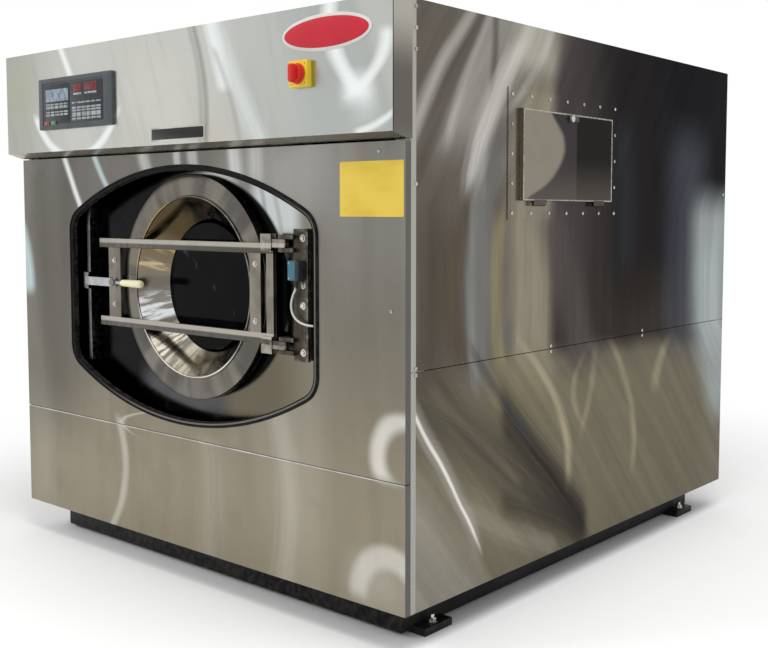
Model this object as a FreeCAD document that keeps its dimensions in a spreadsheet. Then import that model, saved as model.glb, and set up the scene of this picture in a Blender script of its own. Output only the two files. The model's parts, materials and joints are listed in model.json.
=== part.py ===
"""Industrial front-loading laundry machine with a spring-suspended tub, in millimetres.

X runs to the right, Y to the back and Z up. The origin is on the floor, at the centre of
the anchor-bolt pattern. The front of the machine faces -Y.
"""
import FreeCAD, Part
import math
import os
import Sketcher

from FreeCAD import Placement, Rotation, Vector

os.makedirs("parts", exist_ok=True)
doc = FreeCAD.newDocument("laundry_machine")

# Driving dimensions: word, value in millimetres (or degrees, or a count), meaning.
SIZES = [
    ("cab_width", 1700, "outer width over the side panels"),
    ("cab_depth", 1770, "front panel face to back panel face"),
    ("cab_height", 1485, "underside of the cabinet to its top"),
    ("pad_height", 10, "rubber pads under the base"),
    ("rail_height", 90, "height of the base rails"),
    ("base_width", 1520, "width over the base rails"),
    ("base_depth", 1590, "depth over the base rails"),
    ("rail_width", 80, "width of a base rail"),
    ("lug_reach", 45, "how far an anchor lug stands out sideways"),
    ("lug_length", 110, "length of an anchor lug along the rail"),
    ("lug_plate", 20, "thickness of an anchor lug"),
    ("anchor_inset", 95, "anchor hole centre from the end of the base"),
    ("anchor_hole", 9, "radius of an anchor hole"),
    ("skin", 3, "thickness of the stainless panels"),
    ("post_side", 50, "side of a square cabinet post"),
    ("header_deep", 25, "depth of the front header and sill"),
    ("header_rise", 30, "front header above the underside of the fascia"),
    ("side_setback", 20, "side panels' front edge behind the front panel face"),
    ("flange", 18, "width of a bent panel edge"),
    ("seam", 2, "gap between neighbouring panels"),
    ("kick_height", 326, "height of the kick panel"),
    ("side_split", 597, "height of the seam in the side panels"),
    ("fascia_low", 1156, "underside of the fascia above the cabinet's underside"),
    ("fascia_bevel", 14, "height of the sloped strip under the fascia"),
    ("fascia_proud", 50, "fascia face ahead of the front panel face"),
    ("fascia_over", 4, "fascia wider than the cabinet at each side"),
    ("axis_x", -5, "drum and door axis, sideways"),
    ("axis_height", 763, "drum and door axis above the cabinet's underside"),
    ("mouth_left", -565, "left edge of the front opening"),
    ("mouth_right", 546, "right edge of the front opening"),
    ("mouth_low", 373, "lowest point of the front opening above the cabinet's underside"),
    ("mouth_high", 1107, "highest point of the front opening above the cabinet's underside"),
    ("mouth_arc", 1125, "radius of the opening's top and bottom arcs"),
    ("mouth_corner", 70, "radius of the opening's corners"),
    ("trim_lip", 13, "width of the rubber edge trim on the panel face"),
    ("trim_proud", 7, "how far the trim stands ahead of the panel"),
    ("trim_back", 14, "how far the trim reaches behind the panel face"),
    ("tub_radius", 610, "outer radius of the tub"),
    ("tub_wall", 6, "tub shell thickness"),
    ("tub_plate", 8, "thickness of the tub's front and back plates"),
    ("tub_front", 60, "tub front plate's face behind the front panel face"),
    ("tub_length", 1127, "tub length over both plates"),
    ("tub_mouth", 285, "radius of the hole in the tub's front plate"),
    ("seal_width", 34, "width of the door seal"),
    ("seal_height", 4, "height of the door seal on the tub plate"),
    ("ring_radius", 328, "outer radius of the door ring"),
    ("ring_bore", 262, "inner radius of the door ring"),
    ("ring_depth", 26, "thickness of the door ring"),
    ("ring_dome", 4, "rise of the ring's middle over its edges"),
    ("bowl_depth", 78, "depth of the polished door bowl"),
    ("bowl_small", 187, "radius of the bowl at the glass"),
    ("bowl_wall", 3, "thickness of the bowl"),
    ("glass_lap", 12, "width of the flange that carries the glass"),
    ("glass_thick", 10, "thickness of the door glass"),
    ("slack", 0.3, "gap between parts that move past each other"),
    ("strap_offset", 122, "door straps above and below the door axis"),
    ("strap_height", 28, "height of a door strap"),
    ("strap_thick", 12, "thickness of a door strap"),
    ("strap_left", 435, "strap's left end from the door axis"),
    ("hinge_x", 405, "hinge axis to the right of the door axis"),
    ("hinge_pin", 8, "radius of a hinge pin"),
    ("hinge_play", 0.06, "radial play of a hinge pin"),
    ("knuckle", 14, "radius of a hinge knuckle"),
    ("plate_left", 437, "hinge plate's left edge from the door axis"),
    ("plate_right", 491, "hinge plate's right edge from the door axis"),
    ("plate_up", 175, "hinge plate above and below the door axis"),
    ("hinge_plate", 10, "thickness of the hinge plate"),
    ("clamp_left", 387, "door's latch plate, left edge from the door axis"),
    ("clamp_width", 60, "width of the door's latch plate"),
    ("clamp_thick", 8, "thickness of the door's upright plates"),
    ("pivot_left", 357, "latch pivot to the left of the door axis"),
    ("latch_reach", 150, "latch arm from its pivot to its tip"),
    ("latch_height", 26, "height of the latch arm"),
    ("latch_thick", 6, "thickness of the latch arm"),
    ("grip_length", 135, "length of the latch grip"),
    ("grip_radius", 12, "radius of the latch grip"),
    ("grip_start", 48, "latch grip's near end from the pivot"),
    ("bolt_radius", 8, "radius of the latch pivot bolt"),
    ("post_left", 515, "latch post's left edge from the door axis"),
    ("post_broad", 18, "width of the latch post"),
    ("post_up", 255, "latch post above and below the door axis"),
    ("post_deep", 36, "latch post's depth from the tub plate"),
    ("strike_up", 26, "latch strike above and below the door axis"),
    ("drum_radius", 575, "outer radius of the drum"),
    ("drum_wall", 4, "drum sheet thickness"),
    ("drum_front", 105, "drum's front face behind the front panel face"),
    ("drum_length", 1030, "drum length"),
    ("drum_mouth", 300, "radius of the drum's mouth"),
    ("hole_rows", 5, "rows of drain holes along the drum"),
    ("holes_round", 12, "drain holes round the drum in one row"),
    ("drain_hole", 9, "radius of a drain hole"),
    ("lifter_high", 90, "height of a lifting rib"),
    ("lifter_wall", 4, "thickness of a lifting rib's sheet"),
    ("lifter_wide", 120, "foot width of a lifting rib"),
    ("shaft_radius", 50, "radius of the drum shaft"),
    ("shaft_play", 0.05, "radial play of the shaft in its bearings"),
    ("spider_radius", 220, "radius of the shaft's flange"),
    ("spider_thick", 14, "thickness of the shaft's flange"),
    ("shaft_length", 480, "shaft behind the drum"),
    ("housing_radius", 120, "bearing housing's outer radius"),
    ("housing_length", 290, "length of the bearing housing"),
    ("housing_flange", 250, "radius of the bearing housing's flange"),
    ("flange_thick", 20, "thickness of the bearing housing's flange"),
    ("bearing_radius", 85, "outer radius of a bearing"),
    ("bearing_width", 45, "width of a bearing"),
    ("pulley_radius", 290, "radius of the drum pulley"),
    ("pulley_width", 60, "width of both pulleys"),
    ("pulley_gap", 40, "pulleys behind the bearing housing"),
    ("pulley_rim", 40, "depth of the drum pulley's rim and hub"),
    ("pulley_web", 18, "recess of the drum pulley's web"),
    ("motor_x", 330, "motor axis to the right of the drum axis"),
    ("motor_drop", 490, "motor axis below the drum axis"),
    ("motor_radius", 118, "outer radius of the motor"),
    ("motor_length", 280, "length of the motor body"),
    ("motor_shaft", 24, "radius of the motor shaft"),
    ("small_pulley", 60, "radius of the motor pulley"),
    ("belt_thick", 12, "thickness of the belts"),
    ("beam_x", 530, "suspension beams' centre from the middle"),
    ("beam_side", 60, "width and height of a suspension beam"),
    ("beam_clear", 115, "suspension beams above the spring seats"),
    ("beam_front", 60, "front end of the beams ahead of the front springs"),
    ("beam_back", 80, "rear end of the beams behind the rear springs"),
    ("saddle_front", 265, "front saddle behind the tub's front"),
    ("saddle_back", 975, "rear saddle behind the tub's front"),
    ("saddle_thick", 14, "thickness of a saddle plate"),
    ("saddle_web", 38, "height of a saddle plate under the tub"),
    ("saddle_rise", 250, "height of a saddle plate over the beams"),
    ("spring_front", 155, "front springs behind the base's front end"),
    ("spring_back", 235, "rear springs ahead of the base's rear end"),
    ("spring_radius", 46, "mean radius of a suspension spring"),
    ("wire_radius", 7, "radius of the spring wire"),
    ("spring_turns", 4, "turns of a suspension spring"),
    ("damper_out", 105, "dampers outside the springs"),
    ("damper_radius", 26, "outer radius of a damper cylinder"),
    ("damper_bore", 15, "bore of a damper cylinder"),
    ("damper_play", 0.08, "radial play of a damper rod"),
    ("damper_height", 80, "height of a damper cylinder"),
    ("damper_floor", 5, "thickness of a damper cylinder's floor"),
    ("damper_room", 35, "travel left under a damper rod"),
    ("valve_radius", 48, "outer radius of the drain pipe"),
    ("valve_wall", 5, "wall of the drain pipe"),
    ("valve_y", 575, "drain pipe behind the tub's front"),
    ("spigot_radius", 46, "radius of the drain pipe's hose end"),
    ("spigot_length", 35, "length of the drain pipe's hose end"),
    ("valve_drop", 95, "length of the drain pipe under the tub"),
    ("disc_thick", 6, "thickness of the drain valve disc"),
    ("stem_radius", 6, "radius of the drain valve's stem"),
    ("stem_length", 50, "stem outside the pipe"),
    ("panel_left", -645, "control panel's left edge"),
    ("panel_wide", 400, "control panel width"),
    ("panel_low", 1238, "control panel's lower edge above the cabinet's underside"),
    ("panel_high", 159, "control panel height"),
    ("panel_thick", 9, "control panel thickness"),
    ("panel_round", 6, "radius of the control panel's corners"),
    ("key_wide", 26, "width of a start or stop key"),
    ("key_high", 12, "height of a start or stop key"),
    ("key_deep", 5, "depth of a key's pocket"),
    ("key_rise", 2, "key's face ahead of the control panel"),
    ("key_travel", 1.5, "travel of a key"),
    ("key_inset", 34, "first key's left edge from the panel's left edge"),
    ("key_pitch", 36, "distance from key to key"),
    ("key_up", 14, "keys' lower edge from the panel's lower edge"),
    ("switch_x", 555, "isolator's centre, sideways"),
    ("switch_up", 1322, "isolator's centre above the cabinet's underside"),
    ("switch_side", 65, "side of the isolator's square plate"),
    ("switch_thick", 16, "thickness of the isolator's plate"),
    ("switch_deep", 50, "depth of the switch behind the fascia"),
    ("knob_radius", 26, "radius of the isolator knob"),
    ("knob_high", 28, "height of the isolator knob"),
    ("stem_hole", 7, "radius of the isolator's stem"),
    ("hatch_front", -423, "hatch lid's front edge"),
    ("hatch_long", 468, "hatch lid length"),
    ("hatch_low", 1015, "hatch lid's lower edge above the cabinet's underside"),
    ("hatch_high", 247, "hatch lid height"),
    ("hatch_rim", 52, "hatch frame outside the lid"),
    ("hatch_lap", 13, "lid over the edge of the hatch hole"),
    ("hatch_thick", 12, "thickness of the raised lid"),
    ("screw_inset", 18, "hatch screws from the frame's edge"),
    ("screw_radius", 5, "radius of a panel screw head"),
    ("screw_head", 3, "height of a panel screw head"),
    ("screws_long", 7, "hatch screws along the top and bottom"),
    ("screws_high", 5, "hatch screws up each side"),
    ("latch_knob", 11, "radius of the hatch latch knob"),
    ("latch_tab", 34, "length of the hatch latch tab"),
    ("box_deep", 180, "depth of the detergent box"),
    ("box_drop", 60, "detergent box below the hatch hole"),
    ("inlet_radius", 17, "radius of a water inlet pipe"),
    ("inlet_thread", 16.6, "radius of a water inlet's threaded end"),
    ("inlet_collar", 5, "water inlet pipe behind the back panel, up to its thread"),
    ("inlet_reach", 55, "water inlet pipe behind the back panel"),
    ("inlet_pitch", 140, "distance between the water inlets"),
    ("inlet_up", 1320, "water inlets above the cabinet's underside"),
    ("ebox_wide", 300, "width of the electrical box"),
    ("ebox_deep", 260, "depth of the electrical box"),
    ("ebox_high", 210, "height of the electrical box"),
    ("sensor_wide", 42, "width of the door switch"),
    ("sensor_high", 52, "height of the door switch"),
    ("sensor_deep", 26, "depth of the door switch"),
    ("sensor_up", 40, "door switch's lower edge above the door axis"),
    ("cable_radius", 3, "radius of the door switch's cable"),
    ("hatch_pin", 3, "radius of a hatch hinge pin"),
    ("hatch_barrel", 6.5, "radius of a hatch hinge barrel"),
    ("barrel_long", 60, "length of a hatch hinge barrel"),
    ("ear_long", 12, "length of a hatch hinge ear"),
    ("latch_stem", 4, "radius of the hatch latch stem"),
    ("gland_radius", 9, "radius of the cable gland"),
    ("gland_length", 16, "length of the cable gland"),
]

sheet = doc.addObject("Spreadsheet::Sheet", "sizes")


class Sized(float):
    """A number that also remembers the spreadsheet formula it comes from."""

    def __new__(cls, value, formula):
        made = float.__new__(cls, value)
        made.formula = formula
        return made

    def __add__(self, other):
        return mix(self, "+", other, float(self) + float(other))

    def __radd__(self, other):
        return mix(other, "+", self, float(other) + float(self))

    def __sub__(self, other):
        return mix(self, "-", other, float(self) - float(other))

    def __rsub__(self, other):
        return mix(other, "-", self, float(other) - float(self))

    def __mul__(self, other):
        return mix(self, "*", other, float(self) * float(other))

    def __rmul__(self, other):
        return mix(other, "*", self, float(other) * float(self))

    def __truediv__(self, other):
        return mix(self, "/", other, float(self) / float(other))

    def __neg__(self):
        return mix(0, "-", self, -float(self))


def formula_of(value):
    """The formula of a linked number, or the digits of a plain one."""
    if isinstance(value, Sized):
        return value.formula
    return "%.10g" % float(value)


def mix(first, sign, second, value):
    """A number worked out from two others, with its formula."""
    return Sized(value, "(%s %s %s)" % (formula_of(first), sign, formula_of(second)))


def root(value):
    """The square root of a linked number."""
    return Sized(math.sqrt(value), "sqrt(%s)" % formula_of(value))


class Dimensions:
    """The driving dimensions by name, each tied to its spreadsheet cell."""


dim = Dimensions()
for row, (word, amount, meaning) in enumerate(SIZES, start=1):
    sheet.set("A%d" % row, word)
    sheet.set("B%d" % row, str(amount))
    sheet.setAlias("B%d" % row, word)
    sheet.set("C%d" % row, meaning)
    setattr(dim, word, Sized(amount, "sizes." + word))
doc.recompute()

nodes = []


def bind(thing, prop, value):
    """Set a property, tied to the spreadsheet where the value is."""
    if isinstance(value, Sized):
        thing.setExpression(prop, value.formula)
    else:
        setattr(thing, prop, value)


def place(thing, x, y, z):
    """Tie an object's position to the spreadsheet."""
    for letter, value in (("x", x), ("y", y), ("z", z)):
        thing.setExpression("Placement.Base." + letter, formula_of(value))


def box(name, across, along, up):
    """A block between (low, high) limits in X, Y and Z."""
    made = doc.addObject("Part::Box", name)
    bind(made, "Length", across[1] - across[0])
    bind(made, "Width", along[1] - along[0])
    bind(made, "Height", up[1] - up[0])
    place(made, across[0], along[0], up[0])
    return made


TURNS = {
    "X": Rotation(Vector(0, 1, 0), 90),
    "Y": Rotation(Vector(1, 0, 0), -90),
    "Z": Rotation(),
}


def rod(name, axis, centre, radius, span):
    """A cylinder along an axis; the centre gives the other two coordinates in order."""
    made = doc.addObject("Part::Cylinder", name)
    bind(made, "Radius", radius)
    bind(made, "Height", span[1] - span[0])
    made.Placement = Placement(Vector(), TURNS[axis])
    start = list(centre)
    start.insert("XYZ".index(axis), span[0])
    place(made, *start)
    return made


def cut(name, base, tool):
    """The base with the tool taken out."""
    made = doc.addObject("Part::Cut", name)
    made.Base = base
    made.Tool = tool
    return made


def fuse(name, *pieces):
    """Several touching pieces welded into one solid."""
    made = doc.addObject("Part::MultiFuse", name)
    made.Shapes = list(pieces)
    return made


def group(name, pieces):
    """Separate solids of the same kind, kept together."""
    made = doc.addObject("Part::Compound", name)
    made.Links = list(pieces)
    return made


def tube(name, axis, centre, outer, inner, span):
    """A pipe or ring along an axis."""
    body = rod(name + "_outside", axis, centre, outer, span)
    reach = (span[0] - dim.skin, span[1] + dim.skin)
    return cut(name, body, rod(name + "_bore", axis, centre, inner, reach))


def node(thing, label):
    """Name a finished piece and list it for writing."""
    thing.Label = label
    nodes.append(thing)
    return thing


def origin_plane(body, role):
    """One of a body's own origin planes."""
    return [plane for plane in body.Origin.OriginFeatures if plane.Role == role][0]


def new_body(name):
    """An empty body for sketched features."""
    return doc.addObject("PartDesign::Body", name)


def outline(body, name, points, plane="XZ_Plane"):
    """A closed sketch of straight lines whose corners are tied to the sheet."""
    sketch = body.newObject("Sketcher::SketchObject", name)
    sketch.AttachmentSupport = [(origin_plane(body, plane), "")]
    sketch.MapMode = "FlatFace"
    count = len(points)
    for index in range(count):
        start = Vector(points[index][0], points[index][1], 0)
        end = Vector(points[(index + 1) % count][0], points[(index + 1) % count][1], 0)
        sketch.addGeometry(Part.LineSegment(start, end), False)
    for index in range(count):
        following = (index + 1) % count
        sketch.addConstraint(Sketcher.Constraint("Coincident", index, 2, following, 1))
    for index, point in enumerate(points):
        for kind, value in (("DistanceX", point[0]), ("DistanceY", point[1])):
            number = sketch.addConstraint(Sketcher.Constraint(kind, -1, 1, index, 1, float(value)))
            if isinstance(value, Sized):
                sketch.setExpression("Constraints[%d]" % number, value.formula)
    return sketch


def circle(body, name, radius, plane="XZ_Plane"):
    """A sketch of one circle about the body's origin."""
    sketch = body.newObject("Sketcher::SketchObject", name)
    sketch.AttachmentSupport = [(origin_plane(body, plane), "")]
    sketch.MapMode = "FlatFace"
    sketch.addGeometry(Part.Circle(Vector(), Vector(0, 0, 1), float(radius)), False)
    sketch.addConstraint(Sketcher.Constraint("Coincident", 0, 3, -1, 1))
    number = sketch.addConstraint(Sketcher.Constraint("Radius", 0, float(radius)))
    sketch.setExpression("Constraints[%d]" % number, radius.formula)
    return sketch


def pad(body, sketch, length, backwards=False):
    """A sketch pushed out to a plate."""
    made = body.newObject("PartDesign::Pad", sketch.Name + "_pad")
    made.Profile = sketch
    bind(made, "Length", length)
    made.Reversed = backwards
    sketch.Visibility = False
    return made


def turned(name, points):
    """A round body about the Y axis from a closed outline of (radius, depth) points."""
    body = new_body(name)
    sketch = outline(body, name + "_outline", points, "XY_Plane")
    made = body.newObject("PartDesign::Revolution", name + "_turned")
    made.Profile = sketch
    made.ReferenceAxis = (sketch, ["V_Axis"])
    made.Angle = 360
    body.Tip = made
    return body


# Places that many pieces share.
cab_low = dim.pad_height + dim.rail_height
cab_top = cab_low + dim.cab_height
side_x = dim.cab_width / 2
front_y = -dim.cab_depth / 2
back_y = dim.cab_depth / 2
side_front = front_y + dim.side_setback
axis_z = cab_low + dim.axis_height
fascia_z = cab_low + dim.fascia_low
fascia_y = front_y - dim.fascia_proud
tub_y = front_y + dim.tub_front
tub_back_y = tub_y + dim.tub_length
anchor_x = (dim.base_width + dim.lug_reach) / 2
anchor_y = dim.base_depth / 2 - dim.anchor_inset
seat_z = axis_z - dim.tub_radius - dim.saddle_web - dim.beam_clear
cradle_z = seat_z + dim.beam_clear
SEATS = {
    "front": dim.spring_front - dim.base_depth / 2,
    "back": dim.base_depth / 2 - dim.spring_back,
}
SIDES = (("left", -1), ("right", 1))
ENDS = (("front", -1), ("back", 1))


def spread(middle, half):
    """Limits on both sides of a middle."""
    return (middle - half, middle + half)


def mirrored(sign, low, high):
    """Limits on the chosen side of the middle, lowest first."""
    if sign > 0:
        return (low, high)
    return (-high, -low)


def base():
    """Black steel base: rails all round, two cross rails and four anchor lugs on pads."""
    rail_z = (dim.pad_height, cab_low)
    half_x = dim.base_width / 2
    half_y = dim.base_depth / 2
    pieces = []
    holes = []
    pads = []
    for side, sign in SIDES:
        across = mirrored(sign, half_x - dim.rail_width, half_x)
        pieces.append(box("base_rail_" + side, across, spread(0, half_y), rail_z))
        for end, back in ENDS:
            middle = anchor_y * back
            lug_y = spread(middle, dim.lug_length / 2)
            lug_x = mirrored(sign, half_x, half_x + dim.lug_reach)
            lug_z = (Sized(0, "0"), dim.lug_plate)
            spot = (anchor_x * sign, middle)
            pieces.append(box("base_lug_%s_%s" % (end, side), lug_x, lug_y, lug_z))
            holes.append(rod("base_hole_%s_%s" % (end, side), "Z", spot, dim.anchor_hole,
                             (-dim.skin, lug_z[1] + dim.skin)))
            pads.append(box("foot_pad_%s_%s" % (end, side), across, lug_y, (0, dim.pad_height)))
    cross_x = spread(0, half_x - dim.rail_width)
    for end, back in ENDS:
        pieces.append(box("base_rail_" + end, cross_x,
                          mirrored(back, half_y - dim.rail_width, half_y), rail_z))
    for end, middle in SEATS.items():
        pieces.append(box("base_cross_" + end, cross_x, spread(middle, dim.rail_width),
                          (dim.pad_height, seat_z)))
    node(cut("base_frame", fuse("base_rails", *pieces), fuse("base_holes", *holes)), "base_frame")
    node(group("foot_pads", pads), "foot_pads")


def cabinet_frame():
    """Square posts at the corners, tied by top and bottom rails, on two beams over the base."""
    inner_x = side_x - dim.skin
    post_low = cab_low
    post_top = cab_top - dim.skin
    pieces = []
    for side, sign in SIDES:
        across = mirrored(sign, inner_x - dim.post_side, inner_x)
        for end, back in ENDS:
            if back < 0:
                along = (side_front + dim.skin, side_front + dim.skin + dim.post_side)
            else:
                along = (back_y - dim.skin - dim.post_side, back_y - dim.skin)
            pieces.append(box("post_%s_%s" % (end, side), across, along, (post_low, post_top)))
        length = (side_front + dim.skin, back_y - dim.skin)
        pieces.append(box("sill_" + side, across, length, (post_low, post_low + dim.post_side)))
        pieces.append(box("cant_rail_" + side, across, length, (post_top - dim.post_side, post_top)))
    tie_x = spread(0, inner_x)
    rest = dim.base_depth / 2 - dim.rail_width
    for end, back in ENDS:
        pieces.append(box("floor_beam_" + end, tie_x, mirrored(back, rest, rest + dim.post_side),
                          (post_low, post_low + dim.post_side)))
    back_rail = (back_y - dim.skin - dim.post_side, back_y - dim.skin)
    front_rail = (side_front + dim.skin, side_front + dim.skin + dim.header_deep)
    pieces.append(box("header_back", tie_x, back_rail, (post_top - dim.post_side, post_top)))
    header_z = fascia_z + dim.header_rise
    pieces.append(box("header_front", tie_x, front_rail, (header_z, header_z + dim.post_side)))
    pieces.append(box("sill_front", tie_x, front_rail, (post_low, post_low + dim.post_side)))
    pieces.append(box("sill_back", tie_x, back_rail, (post_low, post_low + dim.post_side)))
    node(fuse("cabinet_frame", *pieces), "cabinet_frame")


def side_panels():
    """Upper and lower side sheets with their front edges bent in; the right one has a hatch."""
    split_z = cab_low + dim.side_split
    heights = {
        "lower": (cab_low, split_z - dim.seam / 2),
        "upper": (split_z + dim.seam / 2, cab_top - dim.skin),
    }
    for side, sign in SIDES:
        for level, span in heights.items():
            name = "side_panel_%s_%s" % (side, level)
            sheet_x = mirrored(sign, side_x - dim.skin, side_x)
            edge_x = mirrored(sign, side_x - dim.flange, side_x)
            face = box(name + "_face", sheet_x, (side_front, back_y - dim.skin), span)
            edge = box(name + "_edge", edge_x, (side_front, side_front + dim.skin), span)
            if side == "right" and level == "upper":
                whole = fuse(name + "_sheet", face, edge)
                hole = hatch_hole(name + "_hole", (sheet_x[0] - dim.skin, sheet_x[1] + dim.skin))
                node(cut(name, whole, hole), name)
            else:
                node(fuse(name, face, edge), name)


def hatch_hole(name, across):
    """The rectangular hole behind the hatch lid."""
    along = (dim.hatch_front + dim.hatch_lap, dim.hatch_front + dim.hatch_long - dim.hatch_lap)
    low = cab_low + dim.hatch_low + dim.hatch_lap
    high = cab_low + dim.hatch_low + dim.hatch_high - dim.hatch_lap
    return box(name, across, along, (low, high))


def plain_panels():
    """Kick panel, top and back sheets."""
    kick_top = cab_low + dim.kick_height - dim.seam / 2
    kick_y = (front_y, front_y + dim.skin)
    kick = box("kick_face", spread(0, side_x), kick_y, (cab_low, kick_top))
    lip_y = (front_y, side_front)
    lip = box("kick_lip", spread(0, side_x - dim.flange), lip_y, (cab_low, cab_low + dim.skin))
    fold = box("kick_fold", spread(0, side_x - dim.flange), lip_y, (kick_top - dim.skin, kick_top))
    ends = [box("kick_lip_" + side, mirrored(sign, side_x - dim.skin, side_x), lip_y,
                (cab_low, kick_top)) for side, sign in SIDES]
    node(fuse("kick_panel", kick, lip, fold, *ends), "kick_panel")
    node(box("top_panel", spread(0, side_x), (side_front, back_y), (cab_top - dim.skin, cab_top)),
         "top_panel")
    sheet = box("back_sheet", spread(0, side_x), (back_y - dim.skin, back_y),
                (cab_low, cab_top - dim.skin))
    holes = [inlet_pipe("back_hole_%d" % place_no, place_no, dim.inlet_radius + dim.slack,
                        (back_y - dim.flange, back_y + dim.skin)) for place_no in (-1, 0, 1)]
    node(cut("back_panel", sheet, fuse("back_holes", *holes)), "back_panel")


def inlet_pipe(name, place_no, radius, along):
    """One of the three water and steam pipes through the back panel."""
    centre = (dim.inlet_pitch * place_no, cab_low + dim.inlet_up)
    return rod(name, "Y", centre, radius, along)


def inlets():
    """Pipe stubs for cold water, hot water and steam, each with a valve block inside."""
    pieces = []
    for place_no in (-1, 0, 1):
        stub = inlet_pipe("inlet_stub_%d" % place_no, place_no, dim.inlet_radius,
                          (back_y - dim.post_side, back_y + dim.inlet_collar))
        thread = inlet_pipe("inlet_thread_%d" % place_no, place_no, dim.inlet_thread,
                            (back_y, back_y + dim.inlet_reach))
        block_x = spread(dim.inlet_pitch * place_no, dim.flange * 2)
        block_z = spread(cab_low + dim.inlet_up, dim.flange * 2)
        block = box("inlet_block_%d" % place_no, block_x,
                    (back_y - dim.post_side * 2, back_y - dim.skin), block_z)
        collar = inlet_pipe("inlet_bore_%d" % place_no, place_no, dim.inlet_radius - dim.skin,
                            (back_y - dim.skin * 2, back_y + dim.inlet_reach + dim.skin))
        whole = fuse("inlet_body_%d" % place_no, stub, thread, block)
        pieces.append(cut("inlet_%d" % place_no, whole, collar))
    node(group("water_inlets", pieces), "water_inlets")


def mouth(name, grow, along):
    """The rounded outline of the front opening, grown outwards, as a solid."""
    low_z = cab_low + dim.mouth_low - grow
    high_z = cab_low + dim.mouth_high + grow
    middle = (dim.mouth_left + dim.mouth_right) / 2
    arc = dim.mouth_arc + grow
    sides = box(name + "_sides", (dim.mouth_left - grow, dim.mouth_right + grow), along,
                (low_z, high_z))
    crown = rod(name + "_crown", "Y", (middle, high_z - arc), arc, along)
    belly = rod(name + "_belly", "Y", (middle, low_z + arc), arc, along)
    common = doc.addObject("Part::MultiCommon", name + "_blank")
    common.Shapes = [sides, crown, belly]
    doc.recompute()
    made = doc.addObject("Part::Fillet", name)
    made.Base = common
    corners = []
    for number, edge in enumerate(common.Shape.Edges, start=1):
        first, last = edge.Vertexes[0].Point, edge.Vertexes[-1].Point
        straight = isinstance(edge.Curve, Part.Line)
        if straight and abs(first.y - last.y) > 0.9 * float(along[1] - along[0]):
            corners.append((number, float(dim.mouth_corner + grow), float(dim.mouth_corner + grow)))
    made.Edges = corners
    return made


def front_panel():
    """The front sheet with its opening, its bent edges, and the rubber trim round the hole."""
    panel_z = (cab_low + dim.kick_height + dim.seam / 2, fascia_z - dim.seam * 2)
    body = new_body("front_sheet")
    corners = [(-side_x, panel_z[0]), (side_x, panel_z[0]), (side_x, panel_z[1]),
               (-side_x, panel_z[1])]
    pad(body, outline(body, "front_sheet_outline", corners), dim.skin, True)
    place(body, Sized(0, "0"), front_y, Sized(0, "0"))
    lip_x = spread(0, side_x - dim.flange)
    lip_y = (front_y, side_front)
    pieces = [body]
    pieces.append(box("front_lip_low", lip_x, lip_y, (panel_z[0], panel_z[0] + dim.skin)))
    pieces.append(box("front_lip_high", lip_x, lip_y, (panel_z[1] - dim.skin, panel_z[1])))
    for side, sign in SIDES:
        across = mirrored(sign, side_x - dim.skin, side_x)
        pieces.append(box("front_lip_" + side, across, lip_y, panel_z))
    hole = mouth("front_hole", dim.slack, (front_y - dim.skin, front_y + dim.skin * 2))
    node(cut("front_panel", fuse("front_folded", *pieces), hole), "front_panel")
    bead = mouth("trim_bead", dim.trim_lip, (front_y - dim.trim_proud, front_y))
    sleeve = mouth("trim_sleeve", Sized(0, "0"), (front_y, front_y + dim.trim_back))
    inner = mouth("trim_inner", -dim.trim_lip / 2,
                  (front_y - dim.trim_back, front_y + dim.trim_back * 2))
    node(cut("opening_trim", fuse("trim_ring", bead, sleeve), inner), "opening_trim")


def fascia():
    """The control box across the top: a folded tray with a sloped underside."""
    half = side_x + dim.fascia_over

    def prism(name, inset, half_width, open_back):
        """The fascia's side outline pushed across the machine."""
        step = Sized(0, "0") if inset == 0 else inset
        rear = side_front + (dim.skin if open_back else 0)
        points = [(rear, cab_top - step), (fascia_y + step, cab_top - step),
                  (fascia_y + step, fascia_z + dim.fascia_bevel + step),
                  (front_y + step, fascia_z + step), (rear, fascia_z + step)]
        body = new_body(name)
        sketch = outline(body, name + "_outline", points, "YZ_Plane")
        made = pad(body, sketch, half_width * 2)
        made.Midplane = True
        return body

    tray = cut("fascia_tray", prism("fascia_outer", 0, half, False),
               prism("fascia_inner", dim.skin, half - dim.skin, True))
    stem = rod("fascia_stem_hole", "Y", (dim.switch_x, cab_low + dim.switch_up),
               dim.stem_hole * 2, (fascia_y - dim.skin, fascia_y + dim.skin * 2))
    node(cut("fascia", tray, stem), "fascia")


def control_panel():
    """The dark control panel with its two push keys."""
    low_z = cab_low + dim.panel_low
    face_y = fascia_y - dim.panel_thick
    plate = box("panel_plate", (dim.panel_left, dim.panel_left + dim.panel_wide),
                (face_y, fascia_y), (low_z, low_z + dim.panel_high))
    rounded = doc.addObject("Part::Fillet", "panel_rounded")
    rounded.Base = plate
    doc.recompute()
    corners = []
    for number, edge in enumerate(plate.Shape.Edges, start=1):
        if abs(edge.Vertexes[0].Y - edge.Vertexes[-1].Y) > float(dim.panel_thick) / 2:
            corners.append((number, float(dim.panel_round), float(dim.panel_round)))
    rounded.Edges = corners
    pockets = []
    for number, name in enumerate(("stop_key", "start_key")):
        left = dim.panel_left + dim.key_inset + dim.key_pitch * number
        across = (left, left + dim.key_wide)
        up = (low_z + dim.key_up, low_z + dim.key_up + dim.key_high)
        wide = (across[0] - dim.slack, across[1] + dim.slack)
        high = (up[0] - dim.slack, up[1] + dim.slack)
        pockets.append(box(name + "_pocket", wide, (face_y - dim.skin, face_y + dim.key_deep), high))
        node(box(name, across, (face_y - dim.key_rise, face_y + dim.key_deep - dim.key_travel), up),
             name)
    node(cut("control_panel", rounded, fuse("panel_pockets", *pockets)), "control_panel")


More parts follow.
